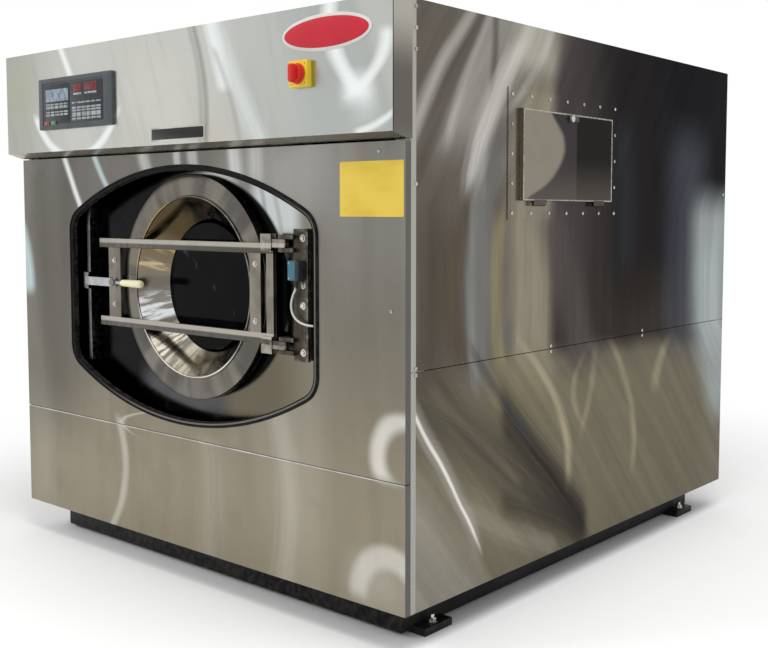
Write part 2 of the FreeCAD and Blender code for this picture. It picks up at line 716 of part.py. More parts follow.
def isolator():
    """The main isolator: a yellow plate on the fascia, a red knob and the switch behind."""
    centre = (dim.switch_x, cab_low + dim.switch_up)
    half = dim.switch_side / 2
    face_y = fascia_y - dim.switch_thick
    square = (spread(centre[0], half), spread(centre[1], half))
    plate = box("isolator_square", square[0], (face_y, fascia_y), square[1])
    hole = rod("isolator_plate_hole", "Y", centre, dim.stem_hole + dim.hinge_play,
               (face_y - dim.skin, fascia_y + dim.skin))
    node(cut("isolator_plate", plate, hole), "isolator_plate")
    switch_y = (fascia_y + dim.skin, fascia_y + dim.skin + dim.switch_deep)
    block = box("isolator_block", square[0], switch_y, square[1])
    well = rod("isolator_well", "Y", centre, dim.stem_hole + dim.hinge_play,
               (fascia_y, switch_y[0] + dim.switch_deep / 2))
    node(cut("isolator_switch", block, well), "isolator_switch")
    knob_y = (face_y - dim.slack - dim.knob_high, face_y - dim.slack)
    disc = rod("knob_disc", "Y", centre, dim.knob_radius, (knob_y[1] - dim.knob_high / 2, knob_y[1]))
    wing = box("knob_wing", spread(centre[0], dim.knob_radius / 3),
               (knob_y[0], knob_y[1] - dim.knob_high / 2), spread(centre[1], dim.knob_radius * 0.9))
    stem = rod("knob_stem", "Y", centre, dim.stem_hole,
               (knob_y[1], switch_y[0] + dim.switch_deep / 2 - dim.slack))
    node(fuse("isolator_knob", disc, wing, stem), "isolator_knob")


def hatch():
    """The screwed hatch frame, its hinged lid, the turn latch and the detergent box inside."""
    low = cab_low + dim.hatch_low
    high = low + dim.hatch_high
    ends = (dim.hatch_front, dim.hatch_front + dim.hatch_long)
    frame_x = (side_x, side_x + dim.skin)
    frame_y = (ends[0] - dim.hatch_rim, ends[1] + dim.hatch_rim)
    frame_z = (low - dim.hatch_rim, high + dim.hatch_rim)
    plate = box("hatch_plate", frame_x, frame_y, frame_z)
    hole = hatch_hole("hatch_plate_hole", (side_x - dim.skin, side_x + dim.skin * 2))
    axis = (frame_x[1] + dim.hatch_barrel + dim.slack, low - dim.hatch_barrel - dim.slack * 3)
    lid_x = (frame_x[1] + dim.slack, frame_x[1] + dim.slack + dim.hatch_thick)
    lid_blank = box("hatch_lid_blank", lid_x, ends, (low, high))
    lid_room = box("hatch_lid_room", (frame_x[1], lid_x[1] - dim.skin),
                   (ends[0] + dim.skin, ends[1] - dim.skin), (low + dim.skin, high - dim.skin))
    lid_pieces = [cut("hatch_lid_tray", lid_blank, lid_room)]
    lid_bores = []
    frame_pieces = [cut("hatch_plate_cut", plate, hole)]
    for end, start in (("front", ends[0] + dim.hatch_rim), ("back", ends[1] - dim.hatch_rim * 2)):
        barrel_y = (start, start + dim.barrel_long)
        lid_pieces.append(rod("hatch_barrel_" + end, "Y", axis, dim.hatch_barrel, barrel_y))
        lid_pieces.append(box("hatch_strap_" + end, (axis[0], axis[0] + dim.hatch_barrel),
                              barrel_y, (axis[1], low + dim.skin)))
        lid_bores.append(rod("hatch_bore_" + end, "Y", axis, dim.hatch_pin + dim.hinge_play,
                             (barrel_y[0] - dim.skin, barrel_y[1] + dim.skin)))
        for far, ear in (("a", (barrel_y[0] - dim.slack - dim.ear_long, barrel_y[0] - dim.slack)),
                         ("b", (barrel_y[1] + dim.slack, barrel_y[1] + dim.slack + dim.ear_long))):
            frame_pieces.append(box("hatch_ear_%s_%s" % (end, far), (frame_x[0], axis[0]), ear,
                                    spread(axis[1], dim.hatch_barrel)))
        frame_pieces.append(rod("hatch_pin_" + end, "Y", axis, dim.hatch_pin,
                                (barrel_y[0] - dim.ear_long, barrel_y[1] + dim.ear_long)))
    node(fuse("hatch_frame", *frame_pieces), "hatch_frame")
    knob_at = ((ends[0] + ends[1]) / 2, high - dim.latch_knob - dim.skin)
    stem_hole = rod("hatch_stem_hole", "X", knob_at, dim.latch_stem + dim.hinge_play,
                    (lid_x[0] - dim.skin, lid_x[1] + dim.skin))
    lid_bores.append(stem_hole)
    node(cut("hatch_lid", fuse("hatch_lid_whole", *lid_pieces), fuse("hatch_lid_bores", *lid_bores)),
         "hatch_lid")
    knob_x = (lid_x[1] + dim.slack, lid_x[1] + dim.slack + dim.latch_knob)
    knob = rod("hatch_knob", "X", knob_at, dim.latch_knob, knob_x)
    stem = rod("hatch_stem", "X", knob_at, dim.latch_stem, (lid_x[0], knob_x[1]))
    tab = box("hatch_tab", (knob_x[0], knob_x[0] + dim.latch_stem),
              (knob_at[0], knob_at[0] + dim.latch_tab), spread(knob_at[1], dim.latch_knob * 0.8))
    node(fuse("hatch_latch", knob, stem, tab), "hatch_latch")
    screws = []
    inset = dim.screw_inset
    rows_z = (frame_z[0] + inset, frame_z[1] - inset)
    rows_y = (frame_y[0] + inset, frame_y[1] - inset)
    head = (frame_x[1], frame_x[1] + dim.screw_head)
    long_count = int(dim.screws_long)
    high_count = int(dim.screws_high)
    for number in range(long_count):
        along = rows_y[0] + (rows_y[1] - rows_y[0]) * number / (long_count - 1)
        for level, up in enumerate(rows_z):
            screws.append(rod("hatch_screw_%d_%d" % (level, number), "X", (along, up),
                              dim.screw_radius, head))
    for number in range(1, high_count - 1):
        up = rows_z[0] + (rows_z[1] - rows_z[0]) * number / (high_count - 1)
        for end, along in enumerate(rows_y):
            screws.append(rod("hatch_side_screw_%d_%d" % (end, number), "X", (along, up),
                              dim.screw_radius, head))
    node(group("hatch_screws", screws), "hatch_screws")
    inner_x = side_x - dim.skin
    hole_y = (ends[0] + dim.hatch_lap, ends[1] - dim.hatch_lap)
    hole_z = (low + dim.hatch_lap - dim.box_drop, high - dim.hatch_lap)
    outer = box("detergent_outer", (inner_x - dim.box_deep, inner_x),
                (hole_y[0] - dim.skin, hole_y[1] + dim.skin),
                (hole_z[0] - dim.skin, hole_z[1] + dim.skin))
    inner = box("detergent_inner", (inner_x - dim.box_deep + dim.skin, inner_x + dim.skin),
                hole_y, hole_z)
    node(cut("detergent_box", outer, inner), "detergent_box")


def panel_screws():
    """Screw heads along the side panels' edges and seams."""
    split_z = cab_low + dim.side_split
    step = dim.screw_radius * 1.6
    pieces = []
    for side, sign in SIDES:
        head = mirrored(sign, side_x, side_x + dim.screw_head)
        front_line = side_front + dim.flange
        back_line = back_y - dim.flange
        spots = []
        for number in range(3):
            spots.append((front_line, cab_top - dim.flange - dim.post_side * number))
        third = dim.cab_depth / 3
        for middle in (front_line, front_line + third, back_line - third):
            spots.append((middle, split_z + step))
            spots.append((middle, split_z - step))
        for line in (front_line, back_line):
            spots.append((line, cab_low + dim.hatch_low + dim.screw_radius * 7))
        for number, spot in enumerate(spots):
            pieces.append(rod("screw_%s_%d" % (side, number), "X", spot, dim.screw_radius, head))
    node(group("panel_screws", pieces), "panel_screws")


def electrical_box():
    """The closed box for the drive's electronics, hung on the left top rail."""
    left = -(side_x - dim.skin - dim.post_side)
    start = side_front + dim.skin + dim.post_side
    top = cab_top - dim.skin - dim.post_side / 2
    node(box("electrical_box", (left, left + dim.ebox_wide), (start, start + dim.ebox_deep),
             (top - dim.ebox_high, top)), "electrical_box")


def spring_shape(height):
    """A coil spring standing on the XY plane."""
    run = float(height) - 2 * float(dim.wire_radius)
    turns = float(dim.spring_turns)
    helix = Part.makeHelix(run / turns, run, float(dim.spring_radius))
    start = Vector(float(dim.spring_radius), 0, 0)
    profile = Part.Wire(Part.makeCircle(float(dim.wire_radius), start, Vector(0, 1, 0)))
    return Part.Wire(helix).makePipeShell([profile], True, True)


def suspension():
    """Springs and dampers between the base and the tub's cradle."""
    cylinders = []
    rods = []
    for side, sign in SIDES:
        for end, middle in SEATS.items():
            coil = doc.addObject("Part::Feature", "spring_%s_%s" % (end, side))
            coil.Shape = spring_shape(dim.beam_clear)
            place(coil, dim.beam_x * sign, middle, seat_z + dim.wire_radius)
            node(coil, "spring_%s_%s" % (end, side))
            spot = ((dim.beam_x + dim.damper_out) * sign, middle)
            name = "%s_%s" % (end, side)
            outer = rod("damper_outer_" + name, "Z", spot, dim.damper_radius,
                        (seat_z, seat_z + dim.damper_height))
            bore = rod("damper_bore_" + name, "Z", spot, dim.damper_bore,
                       (seat_z + dim.damper_floor, seat_z + dim.damper_height + dim.skin))
            cylinders.append(cut("damper_cylinder_" + name, outer, bore))
            rods.append(rod("damper_rod_" + name, "Z", spot, dim.damper_bore - dim.damper_play,
                            (seat_z + dim.damper_floor + dim.damper_room, cradle_z)))
    node(group("damper_cylinders", cylinders), "damper_cylinders")
    node(group("damper_rods", rods), "damper_rods")


def tub_space(name, radius, along):
    """A cylinder about the drum axis."""
    return rod(name, "Y", (dim.axis_x, axis_z), radius, along)


def cradle():
    """The steel cradle under the tub: beams, saddles, damper arms and the motor's plate."""
    low = cradle_z
    high = low + dim.beam_side
    half = dim.beam_side / 2
    outer = dim.beam_x + half
    beam_y = (SEATS["front"] - dim.beam_front, SEATS["back"] + dim.beam_back)
    pieces = []
    for side, sign in SIDES:
        across = mirrored(sign, dim.beam_x - half, outer)
        pieces.append(box("beam_" + side, across, beam_y, (low, high)))
        for end, middle in SEATS.items():
            arm_x = mirrored(sign, outer, dim.beam_x + dim.damper_out + half)
            pieces.append(box("damper_arm_%s_%s" % (end, side), arm_x, spread(middle, half),
                              (low, low + dim.saddle_thick)))
    for end, start in (("front", dim.saddle_front), ("back", dim.saddle_back)):
        along = (tub_y + start, tub_y + start + dim.saddle_thick)
        blank = box("saddle_blank_" + end, spread(0, outer), along, (low, high + dim.saddle_rise))
        room = tub_space("saddle_room_" + end, dim.tub_radius,
                         (along[0] - dim.skin, along[1] + dim.skin))
        pieces.append(cut("saddle_" + end, blank, room))
    motor_y = motor_span()
    pieces.append(box("motor_plate", spread(0, dim.beam_x - half), motor_y,
                      (low, low + dim.flange_thick)))
    node(fuse("tub_cradle", *pieces), "tub_cradle")


def pulley_span():
    """Where both pulleys lie along the machine."""
    start = tub_back_y + dim.housing_length + dim.pulley_gap
    return (start, start + dim.pulley_width)


def motor_span():
    """Where the motor's body lies along the machine."""
    end = pulley_span()[0] - dim.pulley_gap / 2
    return (end - dim.motor_length, end)


def tub():
    """The stationary tub: rolled shell, front plate with the door mouth, and back plate."""
    front_span = (tub_y, tub_y + dim.tub_plate)
    back_span = (tub_back_y - dim.tub_plate, tub_back_y)
    shell_span = (front_span[1], back_span[0])
    shell = tube("tub_sheet", "Y", (dim.axis_x, axis_z), dim.tub_radius,
                 dim.tub_radius - dim.tub_wall, shell_span)
    drain_at = (dim.axis_x, tub_y + dim.valve_y)
    drain = rod("tub_drain_hole", "Z", drain_at, dim.valve_radius - dim.valve_wall,
                (axis_z - dim.tub_radius - dim.skin, axis_z - dim.tub_radius / 2))
    node(cut("tub_shell", shell, drain), "tub_shell")
    body = new_body("tub_front_plate")
    plate = pad(body, circle(body, "tub_front_round", dim.tub_radius), dim.tub_plate, True)
    hole = body.newObject("PartDesign::Pocket", "tub_front_mouth")
    hole.Profile = circle(body, "tub_mouth_round", dim.tub_mouth)
    hole.Type = 1
    hole.Midplane = True
    doc.recompute()
    hole.Profile[0].Visibility = False
    body.Tip = hole
    place(body, dim.axis_x, front_span[0], axis_z)
    node(body, "tub_front_plate")
    plate.Visibility = False
    node(tube("tub_back_plate", "Y", (dim.axis_x, axis_z), dim.tub_radius,
              dim.shaft_radius + dim.belt_thick, back_span), "tub_back_plate")
    seal_outer = dim.ring_radius - dim.slack
    node(tube("door_seal", "Y", (dim.axis_x, axis_z), seal_outer, seal_outer - dim.seal_width,
              (tub_y - dim.seal_height, tub_y)), "door_seal")


def drain_valve():
    """The drain pipe under the tub with its turning disc."""
    centre = (dim.axis_x, tub_y + dim.valve_y)
    low = axis_z - dim.tub_radius - dim.valve_drop
    step_z = low + dim.spigot_length
    top = axis_z - dim.tub_radius + dim.belt_thick
    bore = dim.valve_radius - dim.valve_wall
    outside = fuse("drain_pipe_outside", rod("drain_upper", "Z", centre, dim.valve_radius, (step_z, top)),
                   rod("drain_spigot", "Z", centre, dim.spigot_radius, (low, step_z)))
    inside = rod("drain_pipe_bore", "Z", centre, bore, (low - dim.skin, top + dim.skin))
    pipe = cut("drain_pipe_straight", outside, inside)
    room = tub_space("drain_tub_room", dim.tub_radius,
                     (centre[1] - dim.tub_mouth, centre[1] + dim.tub_mouth))
    disc_z = low + dim.valve_drop / 2
    reach = (centre[0] - dim.valve_radius - dim.skin, centre[0] + dim.valve_radius + dim.skin)
    stem_hole = rod("drain_stem_hole", "X", (centre[1], disc_z), dim.stem_radius + dim.hinge_play,
                    reach)
    node(cut("drain_pipe", cut("drain_pipe_seated", pipe, room), stem_hole), "drain_pipe")
    disc = rod("drain_disc_plate", "Z", centre, bore - dim.slack,
               spread(disc_z, dim.disc_thick / 2))
    stem = rod("drain_stem", "X", (centre[1], disc_z), dim.stem_radius,
               (centre[0] - dim.valve_radius, centre[0] + dim.valve_radius + dim.stem_length))
    lever_x = centre[0] + dim.valve_radius + dim.stem_length
    lever = box("drain_lever", (lever_x - dim.disc_thick, lever_x),
                (centre[1] - dim.stem_length, centre[1] + dim.stem_radius),
                spread(disc_z, dim.stem_radius))
    node(fuse("drain_valve_disc", disc, stem, lever), "drain_valve_disc")


def drum():
    """The perforated drum with lifting ribs, and the shaft that carries it."""
    start = front_y + dim.drum_front
    end = start + dim.drum_length
    inside = dim.drum_radius - dim.drum_wall
    blank = tub_space("drum_blank", dim.drum_radius, (start, end))
    room = tub_space("drum_room", inside, (start + dim.drum_wall, end - dim.drum_wall))
    gate = tub_space("drum_gate", dim.drum_mouth, (start - dim.skin, start + dim.drum_wall * 2))
    holes = []
    rows = int(dim.hole_rows)
    around = int(dim.holes_round)
    for row in range(rows):
        middle = start + dim.drum_length * (row + 1) / (rows + 1)
        for number in range(around):
            turn = 360.0 * (number + 0.5) / around
            hole = doc.addObject("Part::Cylinder", "drum_hole_%d_%d" % (row, number))
            bind(hole, "Radius", dim.drain_hole)
            bind(hole, "Height", dim.drum_radius + dim.skin)
            hole.Placement = Placement(Vector(), Rotation(Vector(0, 1, 0), turn))
            place(hole, dim.axis_x, middle, axis_z)
            holes.append(hole)
    hollow = cut("drum_hollow", blank, fuse("drum_inside", room, gate))
    node(cut("drum_shell", hollow, group("drum_holes", holes)), "drum_shell")
    ribs = []
    foot = dim.lifter_wide / 2
    rib_low = -root(inside * inside - foot * foot)
    for number in range(3):
        body = new_body("drum_rib_%d" % number)
        thick = dim.lifter_wall
        top = -inside + dim.lifter_high
        corners = [(-foot, rib_low), (-foot / 2, top), (foot / 2, top), (foot, rib_low),
                   (foot - thick * 2, rib_low), (foot / 2 - thick, top - thick),
                   (thick - foot / 2, top - thick), (thick * 2 - foot, rib_low)]
        sketch = outline(body, "drum_rib_outline_%d" % number, corners)
        pad(body, sketch, dim.drum_length - dim.drum_wall * 2, True)
        body.Placement = Placement(Vector(), Rotation(Vector(0, 1, 0), 120.0 * number))
        place(body, dim.axis_x, start + dim.drum_wall, axis_z)
        ribs.append(body)
    node(group("drum_ribs", ribs), "drum_ribs")
    spider = tub_space("shaft_flange", dim.spider_radius, (end, end + dim.spider_thick))
    bar = tub_space("shaft_bar", dim.shaft_radius, (end, end + dim.shaft_length))
    node(fuse("drum_shaft", spider, bar), "drum_shaft")


def drive():
    """Bearing housing, bearings, drum pulley, motor, motor pulley and belts."""
    centre = (dim.axis_x, axis_z)
    flange = tub_space("housing_flange_disc", dim.housing_flange,
                       (tub_back_y, tub_back_y + dim.flange_thick))
    barrel = tub_space("housing_barrel", dim.housing_radius,
                       (tub_back_y, tub_back_y + dim.housing_length))
    bore = tub_space("housing_bore", dim.bearing_radius,
                     (tub_back_y - dim.skin, tub_back_y + dim.housing_length + dim.skin))
    node(cut("bearing_housing", fuse("housing_casting", flange, barrel), bore), "bearing_housing")
    rings = []
    hub = dim.shaft_radius + dim.shaft_play
    last = tub_back_y + dim.housing_length
    for name, span in (("front", (tub_back_y, tub_back_y + dim.bearing_width)),
                       ("back", (last - dim.bearing_width, last))):
        rings.append(tube("bearing_" + name, "Y", centre, dim.bearing_radius, hub, span))
    node(group("drum_bearings", rings), "drum_bearings")
    span = pulley_span()
    rim = dim.pulley_radius - dim.pulley_rim
    boss = dim.shaft_radius + dim.pulley_rim
    web = (span[0] + dim.pulley_web, span[1] - dim.pulley_web)
    pulley = turned("drum_pulley", [
        (dim.shaft_radius, span[0]), (boss, span[0]), (boss, web[0]), (rim, web[0]),
        (rim, span[0]), (dim.pulley_radius, span[0]), (dim.pulley_radius, span[1]),
        (rim, span[1]), (rim, web[1]), (boss, web[1]), (boss, span[1]),
        (dim.shaft_radius, span[1])])
    place(pulley, dim.axis_x, Sized(0, "0"), axis_z)
    node(pulley, "drum_pulley")
    motor_at = (dim.axis_x + dim.motor_x, axis_z - dim.motor_drop)
    motor_y = motor_span()
    can = rod("motor_can", "Y", motor_at, dim.motor_radius, motor_y)
    foot = box("motor_foot", spread(motor_at[0], dim.motor_radius * 0.7), motor_y,
               (cradle_z + dim.flange_thick, motor_at[1] - dim.motor_radius / 2))
    hole = rod("motor_bore", "Y", motor_at, dim.motor_shaft + dim.shaft_play,
               (motor_y[0] + dim.motor_length / 3, motor_y[1] + dim.skin))
    node(cut("motor", fuse("motor_body", can, foot), hole), "motor")
    shaft = rod("motor_shaft_bar", "Y", motor_at, dim.motor_shaft,
                (motor_y[0] + dim.motor_length / 3 + dim.slack, span[1] + dim.pulley_web))
    disc = rod("motor_pulley_disc", "Y", motor_at, dim.small_pulley, span)
    node(fuse("motor_pulley", shaft, disc), "motor_pulley")
    belt = doc.addObject("Part::Feature", "drive_belts")
    inset = dim.pulley_web / 2
    belt.Shape = belt_shape(motor_at, (span[0] + inset, span[1] - inset))
    node(belt, "drive_belts")


def belt_shape(motor_at, span):
    """The closed belt loop round both pulleys, a small gap off their rims."""
    big = Vector(float(dim.axis_x), float(span[0]), float(axis_z))
    small = Vector(float(motor_at[0]), float(span[0]), float(motor_at[1]))
    line = small - big
    length = line.Length
    along = line.multiply(1 / length)
    across = Vector(0, 1, 0).cross(along)

    def loop(grow):
        """One tangent loop round both circles, as a face."""
        wide = float(dim.pulley_radius) + grow
        narrow = float(dim.small_pulley) + grow
        lean = (wide - narrow) / length
        rise = math.sqrt(1 - lean * lean)
        ends = {}
        for sign in (-1, 1):
            out = along * lean + across * (rise * sign)
            ends[sign] = (big + out * wide, small + out * narrow)
        edges = [
            Part.LineSegment(ends[1][0], ends[1][1]).toShape(),
            Part.Arc(ends[1][1], small + along * narrow, ends[-1][1]).toShape(),
            Part.LineSegment(ends[-1][1], ends[-1][0]).toShape(),
            Part.Arc(ends[-1][0], big - along * wide, ends[1][0]).toShape(),
        ]
        return Part.Face(Part.Wire(edges))

    touch = float(dim.slack)
    depth = Vector(0, float(span[1] - span[0]), 0)
    outer = loop(touch + float(dim.belt_thick)).extrude(depth)
    return outer.cut(loop(touch).extrude(depth))


# Places that the door's pieces share.
ring_back = tub_y - dim.seal_height - dim.slack
ring_front = ring_back - dim.ring_depth
rim_front = ring_front + dim.ring_dome
strap_front = ring_front - dim.strap_thick
hinge_y = (strap_front + ring_front) / 2
pivot_x = dim.axis_x - dim.pivot_left
arm_back = strap_front - dim.skin
arm_front = arm_back - dim.latch_thick


def door():
    """The round door: domed ring, polished bowl, dark glass and the strap frame that carries it."""
    middle = (dim.ring_radius + dim.ring_bore) / 2
    ring = turned("door_ring", [
        (dim.ring_bore, ring_back), (dim.ring_radius, ring_back), (dim.ring_radius, rim_front),
        (middle, ring_front), (dim.ring_bore, rim_front)])
    place(ring, dim.axis_x, Sized(0, "0"), axis_z)
    node(ring, "door_ring")
    bowl_back = rim_front + dim.bowl_depth
    seat = bowl_back - dim.bowl_wall
    window = dim.bowl_small - dim.glass_lap
    bowl = turned("door_bowl", [
        (dim.ring_bore, rim_front), (dim.ring_bore, ring_back),
        (dim.bowl_small + dim.bowl_wall, bowl_back), (window, bowl_back), (window, seat),
        (dim.bowl_small, seat), (dim.ring_bore - dim.bowl_wall, rim_front)])
    place(bowl, dim.axis_x, Sized(0, "0"), axis_z)
    node(bowl, "door_bowl")
    node(tub_space("door_glass", dim.bowl_small - dim.slack, (seat - dim.glass_thick, seat)),
         "door_glass")
    strap_y = (strap_front, ring_front)
    plate_y = (strap_front, strap_front + dim.clamp_thick)
    half = dim.strap_height / 2
    gap_z = spread(axis_z, dim.strap_offset - half)
    block = (dim.axis_x + dim.hinge_x - dim.knuckle * 5.4, dim.axis_x + dim.hinge_x - dim.knuckle * 2.4)
    pieces = []
    bores = []
    for level, sign in (("low", -1), ("high", 1)):
        strap_z = spread(axis_z + dim.strap_offset * sign, half)
        pieces.append(box("strap_" + level, (dim.axis_x - dim.strap_left, block[1]), strap_y,
                          strap_z))
        block_z = mirrored(sign, dim.strap_offset - half / 2, dim.strap_offset + half * 2.8)
        block_z = (axis_z + block_z[0], axis_z + block_z[1])
        pieces.append(box("hinge_block_" + level, block, (strap_front - dim.clamp_thick, ring_front),
                          block_z))
        knuckle_z = spread(axis_z + knuckle_height() * sign, dim.knuckle * 0.8)
        pieces.append(box("hinge_arm_" + level, (block[1], dim.axis_x + dim.hinge_x),
                          spread(hinge_y, dim.knuckle * 0.7), knuckle_z))
        at = (dim.axis_x + dim.hinge_x, hinge_y)
        pieces.append(rod("hinge_knuckle_" + level, "Z", at, dim.knuckle, knuckle_z))
        bores.append(rod("hinge_bore_" + level, "Z", at, dim.hinge_pin + dim.hinge_play,
                         (knuckle_z[0] - dim.skin, knuckle_z[1] + dim.skin)))
    clamp_x = (dim.axis_x - dim.clamp_left, dim.axis_x - dim.clamp_left + dim.clamp_width)
    pieces.append(box("clamp_plate", clamp_x, plate_y, gap_z))
    strip_x = (dim.axis_x + dim.ring_bore + dim.knuckle, dim.axis_x + dim.ring_radius - dim.clamp_thick)
    pieces.append(box("hinge_strip", strip_x, plate_y, gap_z))
    pieces.append(box("hinge_post", (block[0] + dim.knuckle, block[1]), strap_y, gap_z))
    at = (pivot_x, axis_z)
    pieces.append(rod("latch_bolt", "Y", at, dim.bolt_radius, (arm_front - dim.screw_head, strap_front)))
    pieces.append(rod("latch_bolt_head", "Y", at, dim.bolt_radius * 1.6,
                      (arm_front - dim.slack - dim.screw_head * 1.5, arm_front - dim.slack)))
    node(cut("door_frame", fuse("door_straps", *pieces), fuse("door_bores", *bores)), "door_frame")


def knuckle_height():
    """Height of a door hinge above or below the door axis."""
    return dim.strap_offset + dim.strap_height / 2


def hinge_bracket():
    """The dark hinge plate on the tub, with lugs and pins for both door hinges."""
    at = (dim.axis_x + dim.hinge_x, hinge_y)
    plate_x = (dim.axis_x + dim.plate_left, dim.axis_x + dim.plate_right)
    plate_y = (ring_front + dim.slack, ring_front + dim.slack + dim.hinge_plate)
    plate_z = spread(axis_z, dim.plate_up)
    spacer_x = (plate_x[0] + dim.knuckle, plate_x[1] - dim.knuckle)
    pieces = [box("hinge_plate_sheet", plate_x, plate_y, plate_z),
              box("hinge_spacer", spacer_x, (plate_y[1], tub_y), plate_z)]
    reach = dim.knuckle * 0.8
    for level, sign in (("low", -1), ("high", 1)):
        middle = axis_z + knuckle_height() * sign
        spans = (("a", (middle - reach - dim.strap_thick, middle - reach - dim.slack * 2)),
                 ("b", (middle + reach + dim.slack * 2, middle + reach + dim.strap_thick)))
        for far, span in spans:
            name = "%s_%s" % (level, far)
            pieces.append(box("hinge_lug_" + name, (at[0], plate_x[0] + dim.knuckle),
                              (hinge_y - dim.knuckle * 0.7, plate_y[1]), span))
            pieces.append(rod("hinge_eye_" + name, "Z", at, dim.knuckle, span))
        pieces.append(rod("hinge_pin_" + level, "Z", at, dim.hinge_pin,
                          (spans[0][1][0], spans[1][1][1])))
    node(fuse("door_hinge_bracket", *pieces), "door_hinge_bracket")


def latch():
    """The latch post on the tub, and the latch arm with its grip on the door."""
    post_x = (dim.axis_x - dim.post_left, dim.axis_x - dim.post_left + dim.post_broad)
    post_y = (tub_y - dim.post_deep, tub_y)
    post = box("latch_post_bar", post_x, post_y, spread(axis_z, dim.post_up))
    strike = box("latch_strike", (post_x[0] - dim.post_broad / 2, post_x[1]),
                 (arm_back + dim.slack, tub_y - dim.post_deep / 2), spread(axis_z, dim.strike_up))
    node(fuse("latch_post", post, strike), "latch_post")
    at = (pivot_x, axis_z)
    half = dim.latch_height / 2
    arm = box("latch_bar", (pivot_x - dim.latch_reach, pivot_x + half), (arm_front, arm_back),
              spread(axis_z, half))
    tang_x = (pivot_x + half, pivot_x + half + dim.grip_length)
    tang = box("latch_tang", tang_x, (arm_front, arm_back), spread(axis_z, half / 3))
    boss = rod("latch_boss", "Y", at, half, (arm_front, strap_front - dim.slack))
    hole = rod("latch_hole", "Y", at, dim.bolt_radius + dim.hinge_play,
               (arm_front - dim.skin, strap_front + dim.skin))
    node(cut("latch_arm", fuse("latch_lever", arm, tang, boss), hole), "latch_arm")
    grip_x = (pivot_x + dim.grip_start, tang_x[1] + dim.skin)
    grip = rod("grip_round", "X", ((arm_front + arm_back) / 2, axis_z), dim.grip_radius, grip_x)
    slot = box("grip_slot", (grip_x[0] - dim.skin, tang_x[1]), (arm_front, arm_back),
               spread(axis_z, half / 3))
    node(cut("latch_grip", grip, slot), "latch_grip")


def door_switch():
    """The blue door switch on the hinge plate and the short white lead to its gland."""
    left = dim.axis_x + dim.plate_left + dim.clamp_thick / 2
    face = ring_front + dim.slack
    low = axis_z + dim.sensor_up
    node(box("door_switch", (left, left + dim.sensor_wide), (face - dim.sensor_deep, face),
             (low, low + dim.sensor_high)), "door_switch")
    start = Vector(float(left + dim.sensor_wide / 2), float(face - dim.sensor_deep / 2), float(low))
    end = Vector(*LEAD[-1])
    gland = rod("cable_gland", "Y", (end.x, end.z), dim.gland_radius,
                (tub_y - dim.gland_length, tub_y))
    node(gland, "cable_gland")
    points = [start] + [Vector(*point) for point in LEAD[:-1]]
    points.append(Vector(end.x, float(tub_y - dim.gland_length), end.z))
    lead = doc.addObject("Part::Feature", "switch_cable")
    lead.Shape = bent_tube(points, float(dim.cable_radius))
    node(lead, "switch_cable")


# The lead's route from the door switch to the gland, chosen by eye from its free curve.
LEAD = [
    (457.0, -868.0, 884.0),
    (442.0, -868.0, 862.0),
    (435.0, -868.0, 836.0),
    (442.0, -868.0, 811.0),
    (462.0, -867.5, 795.0),
    (489.0, -867.0, 788.0),
    (512.0, -863.0, 786.5),
    (521.0, -853.0, 786.0),
    (521.0, -841.0, 786.0),
]


def bent_tube(points, radius):
    """A round tube along straight runs joined by tangent arcs."""
    edges = []
    start = points[0]
    total = 0.0
    for index in range(1, len(points) - 1):
        corner = points[index]
        before = points[index - 1] - corner
        after = points[index + 1] - corner
        setback = 0.45 * min(before.Length, after.Length)
        before.normalize()
        after.normalize()
        turn = math.pi - before.getAngle(after)
        bend = setback / math.tan(turn / 2)
        print("lead bend %.1f mm at a turn of %.0f degrees" % (bend, math.degrees(turn)))
        first = corner + before * setback
        last = corner + after * setback
        inward = (before + after).normalize()
        centre_distance = math.hypot(setback, bend)
        middle = corner + inward * (centre_distance - bend)
        edges.append(Part.LineSegment(start, first).toShape())
        edges.append(Part.Arc(first, middle, last).toShape())
        start = last
    edges.append(Part.LineSegment(start, points[-1]).toShape())
    for edge in edges:
        total += edge.Length
    path = Part.Wire(edges)
    heading = (points[1] - points[0]).normalize()
    profile = Part.Wire(Part.makeCircle(radius, points[0], heading))
    solid = path.makePipeShell([profile], True, False)
    section = math.pi * radius * radius
    print("lead length %.1f mm, volume ratio %.4f" % (total, solid.Volume / (section * total)))
    return solid


base()
cabinet_frame()
side_panels()
plain_panels()
inlets()
front_panel()
fascia()
control_panel()
isolator()
hatch()
panel_screws()
electrical_box()
suspension()
cradle()
tub()
drain_valve()
drum()
drive()
door()
hinge_bracket()
latch()
door_switch()
doc.recompute()

# Every object has to be sound before anything is written.
problems = [thing.Label for thing in doc.Objects
            if "Invalid" in thing.State or "Error" in thing.State]
for piece in nodes:
    if piece.Shape.isNull() or not piece.Shape.isValid():
        problems.append(piece.Label)
if problems:
    raise RuntimeError("unsound pieces: " + ", ".join(problems))
for piece in nodes:
    piece.Shape.exportStep("parts/%s.step" % piece.Label)
print(len(nodes), "pieces written")
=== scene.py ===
"""Looks for the industrial front-loading laundry machine. Metres; the front faces -Y."""
import json
import math

import bmesh
import bpy
from mathutils import Matrix, Vector

